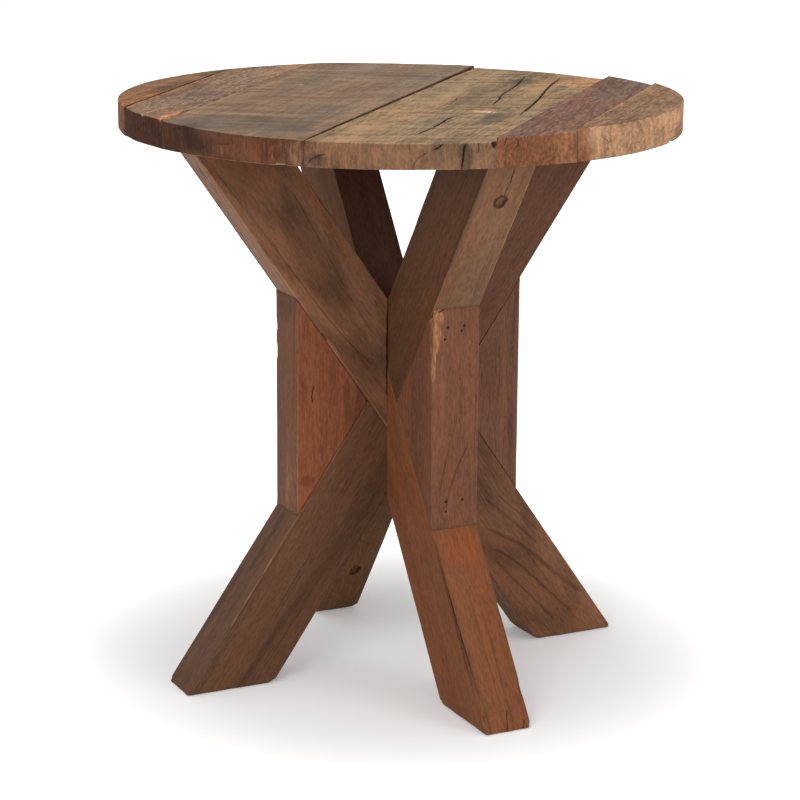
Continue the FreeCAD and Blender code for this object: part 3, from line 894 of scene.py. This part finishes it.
# What the photograph shows on each plank's top face and rim
PLANK_MARKS = {
    1: tops[1](
        Stain((-5, 236), (46, 14), 0.9),
        Warm((-120, 240), (40, 12), 0.4),
        Warm((-20, 233), (200, 4), 0.55),
        Stain((95, 240), (110, 34), 0.3),
    ),
    2: tops[2](
        Chip((-247, 150), (9, 9, 6), 4.0, "warm", 1.0),
        Warm((-208, 160), (50, 13), 0.9),
        Pale((-208, 163), (34, 6), 0.3),
        Pale((-110, 163), (60, 2.5), 0.2),
        Warm((-60, 225), (190, 3.5), 0.6),
        Dark((-20, 167), (70, 4), 0.25),
        Warm((170, 176), (80, 7), 0.4),
        Pale((205, 172), (50, 3), 0.4),
        Stain((-60, 190), (60, 14), 0.5),
        Chip((231, 172), (7, 6, 5), 3.5, "dark", 0.5),
        Chip((-205, 190), (30, 6, 3), 0.8, "pale", 0.3),
    ),
    3: tops[3](
        Stain((-215, 90), (60, 90), 0.75),
        Stain((170, 60), (50, 60), 0.45),
        Pale((122, 105), (2.5, 11), 0.8, 17),
        Pale((56, 125), (2.5, 6), 0.8, 17),
        Pale((42, 75), (2.5, 7), 0.7, 17),
    )
    + [
        Pale((-262, 88, 7), (8, 5, 8), 0.27),
        Warm((-274, 42, 12), (14, 20, 14), 0.45),
        Pale((-275, 26, 10), (12, 16, 14), 0.29),
        Pale((-277, 8, 12), (12, 9, 18), 0.28),
        Stain((-277, 8, 12), (12, 8, 18), 0.3),
        Dark((-244, 130, 13), (38, 60, 18), 0.52),
        Chip((-272, 6, PLANK_THICKNESS[3]), (20, 9, 4), 1.2, "dark", 0.35),
        Crack([(-261, 91, 14), (-265, 80, 15.1)], 0.4, 0.6),
        Vein([(-251, 117, 14.8), (-253, 111, 9), (-256, 105, 8.9)], 0.8),
        Chip((-275, 27, 0), (4, 8, 3), 1.2, "pale", 0.5),
    ],
    4: tops[4](
        Crack([(-214, -79), (-156, -82), (-100, -77), (-78, -80), (-61, -89)], 1.9, 4.0),
        Crack([(-1, -93), (36, -90), (72, -82), (136, -80), (225, -68)], 1.6, 4.0),
        Crack([(-60, -136), (-23, -133), (42, -127), (97, -119), (164, -110), (222, -106)], 2.1, 4.5),
        Crack([(-12, -84), (-23, -103), (-41, -123)], 0.7, 1.0),
        Crack([(-20, -50), (2, -53), (43, -46)], 0.8, 2.0),
    )
    + [
        Crack([(-251, -117, 24), (-253, -113, 20), (-255, -109, 18)], 0.9, 1.6),
        Crack(
            [(-257, -103, 15.5), (-258.5, -99, 13), (-260, -95, 10.5), (-260.5, -93, 6), (-261, -92, 0)],
            0.3,
            1.0,
        ),
        Crack([(-242, -135, 24), (-243, -133, 15), (-244, -132, 0)], 1.1, 2.5),
        Crack([(-236, -145, 23), (-236, -145, 16)], 0.4, 1.0),
        Crack([(-277, 0, 4), (-277, -3, 8.7), (-276.6, -15, 12.8)], 0.5, 1.0),
    ]
    + tops[4](
        Chip((-227, -157), (4, 2.5, 7), 3.0, "dark", 0.9),
        Stain((177, -77), (50, 14), 0.7),
        Stain((-85, -118), (60, 13), 0.9, 8),
        Stain((144, -125), (34, 8), 0.7),
    )
    + [
        Stain((-242, -135, 12), (8, 7, 16), 0.9),
        Stain((-252, -112, 12), (6, 8, 16), 0.35),
    ]
    + tops[4](
        Dark((20, -60), (120, 5), 0.28),
        Stain((60, -70), (110, 34), 0.36),
        Dark((-90, -112), (70, 9), 0.3),
        Dark((-20, -97), (10, 26), 0.4),
        Stain((20, -110), (90, 14), 0.4),
    )
    + [
        Stain((-276, -8, 7), (8, 12, 6), 0.7),
        Dark((-277, -9, 8), (8, 6, 3), 0.25),
    ]
    + tops[4](
        Pale((-48, -101), (8, 16), 0.8, -15),
        Warm((205, -138), (70, 24), 0.9),
        Chip((-145, -113), (2, 2, 2), 0.6, "pale", 1.0),
    ),
    5: tops[5](
        Stain((82, -192), (48, 20), 1.0),
        Stain((190, -190), (80, 28), 0.95),
    )
    + [
        Pale((-228, -158, 12), (8, 6, 20), 0.12),
        Warm((-172, -217, 14), (30, 30, 30), 0.9),
        Crack([(-216, -173, 27), (-213, -177, 23), (-216, -173, 17)], 0.4, 0.8),
        Crack([(-221, -166, 27), (-222, -165, 22)], 0.4, 0.8),
        Chip((-233, -153, PLANK_THICKNESS[5]), (8, 6, 3), 3.0, "stain", 0.2),
    ],
    6: tops[6](
        Warm((0, -221), (50, 3), 0.35),
        Pale((15, -220), (36, 2), 0.25),
        Stain((-120, -250), (90, 6), 0.28),
    )
    + [
        Stain((-172, -217, 14), (26, 20, 28), 0.95),
        Chip((-24, -276, 0), (8, 4, 5), 2.0, "pale", 0.5),
        Crack([(-146, -236, 22), (-138, -240, 16)], 0.3, 0.5),
    ],
}

# Faces of the timbers and blocks. The frame's corners lie a trace inside their sizes, so these are rounded.
front = face(2, round(HALF_THICK, 1))
back = face(2, -round(HALF_THICK, 1))
inner = face(1, -HALF_DEPTH)
outer = face(1, HALF_DEPTH)
block_face = face(1, round(BLOCK_FACE))

TIMBER_MARKS = {
    "long_diagonal": front(
        Stain((-185, 0), (85, 21, 8), 0.95, -7),
        Warm((-205, 30), (110, 7, 5), 0.4, -6),
        Warm((-290, 0), (30, 26, 5), 0.4),
        Vein([(-330, -33), (-260, -28), (-150, -25), (-91, -21), (-36, -10)], 1.1),
        Vein([(-262, 20), (-236, 18), (-186, 14), (-113, 5), (-62, 6)], 1.2),
        Vein([(-150, -1), (-112, -6), (-62, -3)], 0.8),
        Vein([(167, -17), (186, -7), (213, 6), (240, 14), (295, 26), (320, 37)], 3.4),
        Vein([(187, -26), (213, -12), (239, -4), (300, 7), (330, 14)], 2.4),
        Vein([(204, -25), (250, -19), (289, -12), (320, -8)], 2.0),
        Vein([(143, 3), (178, 12), (205, 18), (235, 24)], 2.2),
        Vein([(150, 16), (190, 26), (225, 33)], 1.4),
        Stain((230, -10), (70, 16, 6), 0.3, 14),
        # This crack follows the line where the front brace's side meets this face: a real groove whose dark
        # line is painted shade of the gap there.
        Crack([(-96, 36), (-66, 15), (-18, -18.6)], 1.0, 2.5),
    )
    + inner(
        Dark((-315, 3), (8, 4, 8), 0.55),
        Dark((-298, 6), (9, 4, 7), 0.5),
    )
    + front(
        Stain((-305, 0), (40, 34, 5), 0.42),
        Chip((-112, -38), (7, 3, 3), 0.8, "dark", 0.35),
        Stain((-60, -18), (50, 22, 6), 0.6),
    ),
    "front_upper_brace": inner(
        Knot((302, -2), (8, 5, 7), 5.0),
        Crack([(349, -3.8), (329, -4.4), (309, -4)], 0.5, 1.5),
        Stain((180, 0), (60, 3, 34), 0.25),
        Dark((226, -5), (10, 3, 6), 0.18),
        Dark((255, 1), (7, 3, 5), 0.16),
        Pale((300, 0), (60, 3, 26), 0.14),
        # A painted highlight along the brace's right edge.
        Pale((250, -25.5), (110, 2.2, 2.2), 0.4),
    )
    # Painted shade along the brace's left ridge, for the soft shading of a rounder edge.
    + [Dark((270, -37, 25), (90, 4, 4), 0.35)]
    + front(
        Vein([(294, -24), (262, -23), (210, -23), (178, -32)], 1.6),
        Vein([(345, -12), (290, -10), (220, -4)], 0.9),
    )
    + inner(Vein([(250, -14), (200, -12), (170, -14)], 0.8)),
    "left_infill_block": front(
        Dark((207, 112), (7, 12, 5), 0.35),
        Dark((190, 105), (16, 4, 5), 0.3),
        Pale((230, 124), (70, 1.5, 1.5), 0.25),
    )
    + block_face(Pale((195, 0), (44, 3, 34), 0.22))
    + front(Crack([(303, 106), (296, 108), (287, 107)], 0.7, 1.0))
    + block_face(
        Chip((356, -25), (8, 2.5, 2.5), 1.0, "dark", 0.4),
        Chip((330, -25), (10, 2.5, 2.5), 0.8, "dark", 0.4),
        Dark((380, 0), (18, 4, 30), 0.4),
        Vein([(211, -7), (195, -8), (180, -7)], 0.8),
    ),
    "right_infill_block": back(
        Vein([(330, 101), (290, 103), (262, 98)], 1.0),
        Stain((300, 92), (60, 12, 4), 0.35),
    ),
    "front_infill_block": block_face(
        Chip((384, -24), (10, 9, 11), 2.0, "pale", 0.75),
        Chip((362, -23.5), (20, 8, 9), 1.8, "pale", 0.65),
        Chip((338, -25), (18, 4.5, 5), 1.0, "pale", 0.55),
        Crack([(388, -24), (389, -19), (392, -13)], 0.6, 1.0),
        Vein([(257, 15.5), (226, -0.5), (189, -10)], 1.6),
        Vein([(290, 4), (240, -10), (205, -17)], 1.1),
        Vein([(310, 22.5), (270, 22), (235, 21)], 1.0),
        Hole((362, -12), 0.8, 2.0),
        Hole((369, 6), 0.8, 2.0),
        # A painted highlight along the block's right edge.
        Pale((290, 25.5), (110, 2.0, 2.0), 0.36),
        Hole((189, -9), 0.8, 2.0),
    ),
    "front_lower_leg": outer(
        Vein([(163, 24), (218, 23.8), (253, 23.4), (310, 22), (347, 20)], 2.4),
        Crack([(222, 23.6), (253, 23.2), (300, 22)], 0.4, 1.0),
        Dark((250, 25.5), (110, 3, 3), 0.5),
        Crack([(349, -4.3), (359, -1.5), (370, 1.3)], 0.6, 1.2),
        Crack([(361, -19.2), (370, -16.1)], 0.6, 1.2),
    )
    + front(Dark((250, 22), (40, 10, 4), 0.2))
    + outer(
        Warm((180, 0), (26, 5, 22), 0.4),
        Chip((330, -25), (12, 3, 3), 1.2, "dark", 0.4),
        Chip((250, -25), (14, 2, 2), 0.8, "dark", 0.4),
    ),
    "left_lower_leg": back(
        Pale((265, 38), (75, 1.4, 1.4), 0.28),
        Vein([(150, 34), (211, 35), (266, 35), (311, 36)], 0.8),
        Vein([(82, 29), (134, 26), (200, 24)], 0.7),
        Vein([(130, 2), (200, 4), (290, 2)], 0.6),
        Stain((115, -30), (55, 9, 5), 0.9),
    ),
    "right_upper_brace": back(
        Stain((90, -10), (60, 25, 5), 0.5),
        Vein([(140, -26), (200, -27), (300, -24)], 1.0),
    ),
    "rear_lower_leg": inner(Knot((248, 4), (8, 5, 6), 3.0))
    + front(Stain((280, 0), (50, 40, 60), 0.4)),
}
OPEN_NAILS = ("front", "rear")  # the other blocks' nail holes are filled and sanded
NAIL_RADIUS = 1.2
NAIL_DEPTH = 0.86
HEAD_REACH = 2.5  # how far from the block's face a nail head lies at most


# Planks

# How each joint looks from above: rounding of its two planks, painted shade in its gap, splinters
JointLook = namedtuple("JointLook", "far near seam ragged")
JOINT_LOOKS = {
    1: JointLook(1.0, 1.0, 0.95, 0.3),
    2: JointLook(1.2, 0.4, 0.25, 0.5),
    3: JointLook(1.6, 1.2, 0.6, 0.3),
    4: JointLook(0.6, 1.0, 0.35, 0.0),
    5: JointLook(0.2, 0.4, 0.0, 0.1),
}
JOINT_DEPTH = (5, 2)  # below the top, where a joint's look starts to show and where it is full
UNDERSIDE_ROUNDING = 1.2
TOP_ROUNDING = 1.6
TIP = 1.5
PLAIN_EDGE = 3  # the plank whose red-brown edge shows above its lower neighbour
WARPED_PLANK = 3
FAR_RISE = 0.8
CURL = 2.0
CURL_REACH = (50.0, 170.0)  # across the plank


def joint_line(joint):
    """A joint's place at the middle of the top, and its slope along the planks."""
    near, far = JOINTS[joint]
    return (near + far) / 2, (far - near) / (2 * BLANK_HALF_LENGTH)


def joint_wall(name, joint, side, top):
    """The glued edge of a plank: side is 1 where the plank lies above the joint."""
    middle, slope = joint_line(joint)
    look = JOINT_LOOKS[joint]
    rounding = look.far if side > 0 else look.near
    start, full = (top - depth for depth in JOINT_DEPTH)

    def shown(places):
        return smooth_step(places[:, 2], start, full)

    inward = (-slope * side, side, 0)
    return flat_wall(name, (0, middle, 0), inward, rounding, True, look.seam, look.ragged, shown)


def warped_top(x, y):
    """The warped plank climbs a little to its far end, and curls up where it meets plank 2."""
    return FAR_RISE * x / TOP_RADIUS + CURL * smooth_step(y, *CURL_REACH)


def make_plank(number):
    """One plank of the round top, sawn to the round rim."""
    radius = TOP_RADIUS
    thickness = PLANK_THICKNESS[number]
    rise = warped_top if number == WARPED_PLANK else level_top
    walls = [
        flat_wall("underside", (0, 0, 0), (0, 0, 1), UNDERSIDE_ROUNDING),
        top_wall(thickness, rise, TOP_ROUNDING),
        round_wall("rim", radius, TOP_ROUNDING),
    ]
    edges = {}
    if number < PLANK_COUNT:
        walls.append(joint_wall("lower", number, 1, thickness))
        edges["low"] = joint_line(number)
    if number > 1:
        walls.append(joint_wall("upper", number - 1, -1, thickness))
        edges["high"] = joint_line(number - 1)

    if len(edges) == 2:
        middles = np.array([edges["low"][0], edges["high"][0]])
        length = 2 * math.sqrt(radius**2 - min(abs(middles)) ** 2)
        width = middles[1] - middles[0]

        def plan(along, across):
            start = middles[0] + width * across
            slope = edges["low"][1] + (edges["high"][1] - edges["low"][1]) * across
            bulk = 1 + slope * slope
            reach = np.sqrt((slope * start) ** 2 - bulk * (start**2 - radius**2))
            x = (-slope * start + (2 * along - 1) * reach) / bulk
            return x, start + slope * x

    else:
        middle, slope = next(iter(edges.values()))
        bulk = 1 + slope * slope
        reach = math.sqrt((slope * middle) ** 2 - bulk * (middle**2 - radius**2))
        ends = [(-slope * middle - reach) / bulk + TIP, (-slope * middle + reach) / bulk - TIP]
        length = ends[1] - ends[0]
        width = radius - abs(middle)

        def plan(along, across):
            x = ends[0] + length * along
            straight = middle + slope * x
            arc = math.copysign(1, middle) * np.sqrt(radius**2 - x * x)
            low, high = (straight, arc) if middle > 0 else (arc, straight)
            return x, low + (high - low) * across

    make_piece(
        f"top_plank_{number}",
        plan,
        (length, width),
        (0, thickness),
        walls,
        Matrix.Translation((0, 0, UNDERSIDE * MM)) @ Matrix.Rotation(PLANK_ANGLE, 4, "Z"),
        PLANK_MARKS[number],
        ("rim", "lower") if number == PLAIN_EDGE else ("rim",),
        rise,
    )


# Timbers and blocks of the base

SPOKES = {"right": (1, 0), "rear": (0, 1), "left": (-1, 0), "front": (0, -1)}
# A sawn end. Its place along the grain is start + slope * y, and the last field is how dark the painted shade
# in its joint shows.
Line = namedtuple("Line", "start slope contact seam")
TIMBER_ROUNDING = 1.3
BLOCK_ROUNDING = 1.1
END_ROUNDING = 0.4
FOOT_ROUNDING = 4.5
# How dark the painted shade in each block's joints shows.
BLOCK_SEAM_SHADES = {"right": 0.1, "rear": 0.1, "left": 0.45, "front": 0.3}
SLOPE = math.tan(LEG_ANGLE)
SIN = math.sin(LEG_ANGLE)
COS = math.cos(LEG_ANGLE)
TWICE_SIN = math.sin(2 * LEG_ANGLE)
TWICE_COS = math.cos(2 * LEG_ANGLE)
RISE = UNDERSIDE - CROSSING_HEIGHT
BAND = HALF_DEPTH / COS
MEETING_RADIUS = BAND / SLOPE

TO_TOP = Line(RISE / SIN, -1 / SLOPE, True, 0.25)
TO_FLOOR = Line(CROSSING_HEIGHT / SIN, 1 / SLOPE, False, 0.0)
FROM_TOP = Line(-RISE / SIN, 1 / SLOPE, True, 0.25)
# Ends against the long diagonal's edge, or against the front or rear timber's edge.
BRACE_ON_EDGE = Line(HALF_DEPTH / TWICE_SIN, -TWICE_COS / TWICE_SIN, True, 0.25)
LEG_ON_EDGE = Line(HALF_DEPTH / TWICE_SIN, TWICE_COS / TWICE_SIN, True, 0.25)
# Ends against the side of the long diagonal. Their joints carry painted shade, strongest at the brace's end,
# for the shadow in the gap.
BRACE_ON_SIDE = Line(HALF_THICK / COS, SLOPE, True, 0.9)
LEG_ON_SIDE = Line(HALF_THICK / COS, -SLOPE, True, 0.3)

# Node, spoke, slope (1 rises outwards, -1 falls), starting lines, ending line and second walls
TIMBERS = (
    ("long_diagonal", "right", -1, (FROM_TOP,), TO_FLOOR, ("low",)),
    ("right_upper_brace", "right", 1, (BRACE_ON_EDGE,), TO_TOP, ()),
    ("left_lower_leg", "left", -1, (LEG_ON_EDGE,), TO_FLOOR, ()),
    ("front_lower_leg", "front", -1, (LEG_ON_SIDE,), TO_FLOOR, ()),
    ("front_upper_brace", "front", 1, (BRACE_ON_EDGE, BRACE_ON_SIDE), TO_TOP, ("low",)),
    ("rear_upper_brace", "rear", 1, (BRACE_ON_SIDE._replace(seam=0.1),), TO_TOP, ("back",)),
    ("rear_lower_leg", "rear", -1, (LEG_ON_EDGE, LEG_ON_SIDE), TO_FLOOR, ()),
)


def spoke_matrix(spoke, along, across, height):
    """Places a piece's frame on a spoke: two directions in its upright plane, and its origin's height."""
    radial = Vector((*SPOKES[spoke], 0))
    x_axis = radial * along[0] + Vector((0, 0, along[1]))
    y_axis = radial * across[0] + Vector((0, 0, across[1]))
    turn = Matrix((x_axis, y_axis, x_axis.cross(y_axis))).transposed().to_4x4()
    return Matrix.Translation((0, 0, height * MM)) @ turn


def end_wall(name, line, side, rounding=END_ROUNDING):
    """The sawn end of a timber: side is 1 where the timber begins and -1 where it ends."""
    inward = (side, -side * line.slope, 0)
    return flat_wall(name, (line.start, 0, 0), inward, rounding, line.contact, line.seam)


def grain_plan(low, high, starts, end):
    """A plan between two edges whose rows follow the grain, from one set of lines to another."""

    def plan(along, across):
        y = low + (high - low) * across
        first = np.max([line.start + line.slope * y for line in starts], axis=0)
        last = end.start + end.slope * y
        return first + (last - first) * along, y

    return plan


def side_walls(low, high, rounding, low_contact):
    """The two edge faces and two broad faces of a timber."""
    return [
        flat_wall("low", (0, low, 0), (0, 1, 0), rounding, low_contact),
        flat_wall("high", (0, high, 0), (0, -1, 0), rounding),
        flat_wall("back", (0, 0, -HALF_THICK), (0, 0, 1), rounding),
        flat_wall("front", (0, 0, HALF_THICK), (0, 0, -1), rounding),
    ]


def make_timber(node, spoke, slope, starts, end, second_walls):
    """A sloping timber of the base."""
    walls = side_walls(-HALF_DEPTH, HALF_DEPTH, TIMBER_ROUNDING, False)
    walls += [end_wall(f"start_{n}", line, 1) for n, line in enumerate(starts)]
    walls.append(end_wall("end", end, -1, END_ROUNDING if end.contact else FOOT_ROUNDING))
    length = end.start - min(line.start for line in starts)
    make_piece(
        node,
        grain_plan(-HALF_DEPTH, HALF_DEPTH, starts, end),
        (length, 2 * HALF_DEPTH),
        (-HALF_THICK, HALF_THICK),
        walls,
        spoke_matrix(spoke, (COS, slope * SIN), (-slope * SIN, COS), CROSSING_HEIGHT),
        TIMBER_MARKS.get(node, []),
        second_walls,
    )


def make_block(spoke):
    """An upright block with vertical grain between a brace and a leg."""
    node = f"{spoke}_infill_block"
    seam = BLOCK_SEAM_SHADES[spoke]
    start = Line(CROSSING_HEIGHT + BAND, -SLOPE, True, seam)
    end = Line(CROSSING_HEIGHT - BAND, SLOPE, True, seam)
    low = MEETING_RADIUS + TIP
    walls = side_walls(low, BLOCK_FACE, BLOCK_ROUNDING, True)
    walls += [end_wall("start", start, 1), end_wall("end", end, -1)]
    length = end.start + end.slope * BLOCK_FACE - start.start - start.slope * BLOCK_FACE
    make_piece(
        node,
        grain_plan(low, BLOCK_FACE, (start,), end),
        (length, BLOCK_FACE - low),
        (-HALF_THICK, HALF_THICK),
        walls,
        spoke_matrix(spoke, (0, 1), (1, 0), 0),
        TIMBER_MARKS.get(node, []) + (block_nail_marks(spoke) if spoke in OPEN_NAILS else []),
        ("high",) if spoke == "left" else (),
    )


def block_nail_marks(spoke):
    """Countersunk holes where the frame has this block's nail heads."""
    radial = Vector((*SPOKES[spoke], 0))
    sideways = Vector((0, 0, 1)).cross(radial)
    heads = {}
    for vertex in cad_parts["infill_block_nails"].data.vertices:
        place = vertex.co / MM
        if abs(place.dot(radial) - BLOCK_FACE) < HEAD_REACH:
            height, side = place.z, place.dot(sideways)
            heads.setdefault((height > CROSSING_HEIGHT, side > 0), []).append((height, side))
    marks = []
    for points in heads.values():
        height, side = np.mean([np.min(points, axis=0), np.max(points, axis=0)], axis=0)
        marks.append(Hole((height, BLOCK_FACE, side), NAIL_RADIUS, NAIL_DEPTH))
    return marks


# Batten and fasteners keep their own solids

def dress_fasteners():
    """Finishes for the pieces whose solids already have their real shape."""
    steel = steel_material()
    dowel = wood_material("dowel", 3, turn=0.0, **DOWEL_LOOK)
    across_planks = math.degrees(PLANK_ANGLE) + 90
    finishes = {
        "plank_edge_dowels": dowel,
        "brace_top_dowels": dowel,
        "crossing_dowels": dowel,
        "centre_dowels": dowel,
        "batten_screws": steel,
        "infill_block_nails": steel,
        "top_batten": wood_material("top_batten", 11, turn=across_planks, **BATTEN_LOOK),
    }
    for node, material in finishes.items():
        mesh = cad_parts[node].data
        mesh.materials.clear()
        mesh.materials.append(material)


# Studio: floor, background and lamps

FLOOR_SIZE = 12.0
FLOOR_COLOUR = 0.80
FLOOR_ROUGHNESS = 0.9
FLOOR_SPECULAR = 0.1
FLOOR_GLOW = 0.22
NEAR_FLOOR = 0.2
FAR_FLOOR = 0.6
WORLD_LIGHT = 0.55
WHITE = (1, 1, 1, 1)
TABLE_MIDDLE = (0.0, 0.0, 0.3)


def seen_directly(tree):
    """1 for camera, glossy and transmission rays, which show the white background."""
    rays = tree.nodes.new("ShaderNodeLightPath").outputs
    seen = rays["Is Camera Ray"]
    for ray in ("Is Glossy Ray", "Is Transmission Ray"):
        seen = tree.maths("MAXIMUM", seen, rays[ray])
    return seen


def make_floor():
    """A pale floor that keeps the table's soft shadow, darkened further near the table by painted shade from
    a weaker glow there, and runs out to white further away.
    """
    mesh = bpy.data.meshes.new("floor")
    half = FLOOR_SIZE / 2
    corners = [(-half, -half, 0), (half, -half, 0), (half, half, 0), (-half, half, 0)]
    mesh.from_pydata(corners, [], [(0, 1, 2, 3)])
    floor = bpy.data.objects.new("floor", mesh)
    bpy.context.scene.collection.objects.link(floor)
    tree = Tree(bpy.data.materials.new("pale_floor"))
    distance = tree.node("VectorMath", {0: tree.object_place()}, "Value", operation="LENGTH")
    # The glow to the camera is weaker near the table's middle: painted shade under the table, on top of its
    # real shadow.
    fade = tree.step(distance, NEAR_FLOOR, FAR_FLOOR, FLOOR_GLOW, 1.0)
    tree.put(
        tree.shader,
        {
            "Base Color": (FLOOR_COLOUR, FLOOR_COLOUR, FLOOR_COLOUR, 1),
            "Roughness": FLOOR_ROUGHNESS,
            "Specular IOR Level": FLOOR_SPECULAR,
            "Emission Color": WHITE,
            "Emission Strength": tree.times(seen_directly(tree), fade),
        },
    )
    mesh.materials.append(tree.owner)


def make_world():
    """White to the camera and in reflections, and a softer light otherwise."""
    world = bpy.data.worlds.new("studio")
    bpy.context.scene.world = world
    tree = Tree(world, "Background")
    strength = tree.node("MapRange", {"Value": seen_directly(tree), "To Min": WORLD_LIGHT, "To Max": 1.0})
    tree.put(tree.shader, {"Color": WHITE, "Strength": strength})


def make_lamp(name, place, size, power):
    """A square soft box that points at the table's middle; metres and watts."""
    data = bpy.data.lights.new(name, "AREA")
    data.size = size
    data.energy = power
    lamp = bpy.data.objects.new(name, data)
    direction = Vector(TABLE_MIDDLE) - Vector(place)
    lamp.matrix_world = Matrix.Translation(place) @ direction.to_track_quat("-Z", "Y").to_matrix().to_4x4()
    bpy.context.scene.collection.objects.link(lamp)


def make_lamps():
    """A large box overhead, a key from the front left and a fill from the front right."""
    make_lamp("overhead_box", (-0.2, 0.1, 2.6), 2.2, 14)
    make_lamp("key_box", (-2.2, -1.9, 1.7), 1.5, 34)
    make_lamp("fill_box", (1.6, -2.6, 1.3), 1.5, 26)


make_camera()
make_world()
make_lamps()
make_floor()
for plank in range(1, PLANK_COUNT + 1):
    make_plank(plank)
for timber in TIMBERS:
    make_timber(*timber)
for spoke in SPOKES:
    make_block(spoke)
dress_fasteners()
bpy.context.scene.view_settings.view_transform = "Standard"
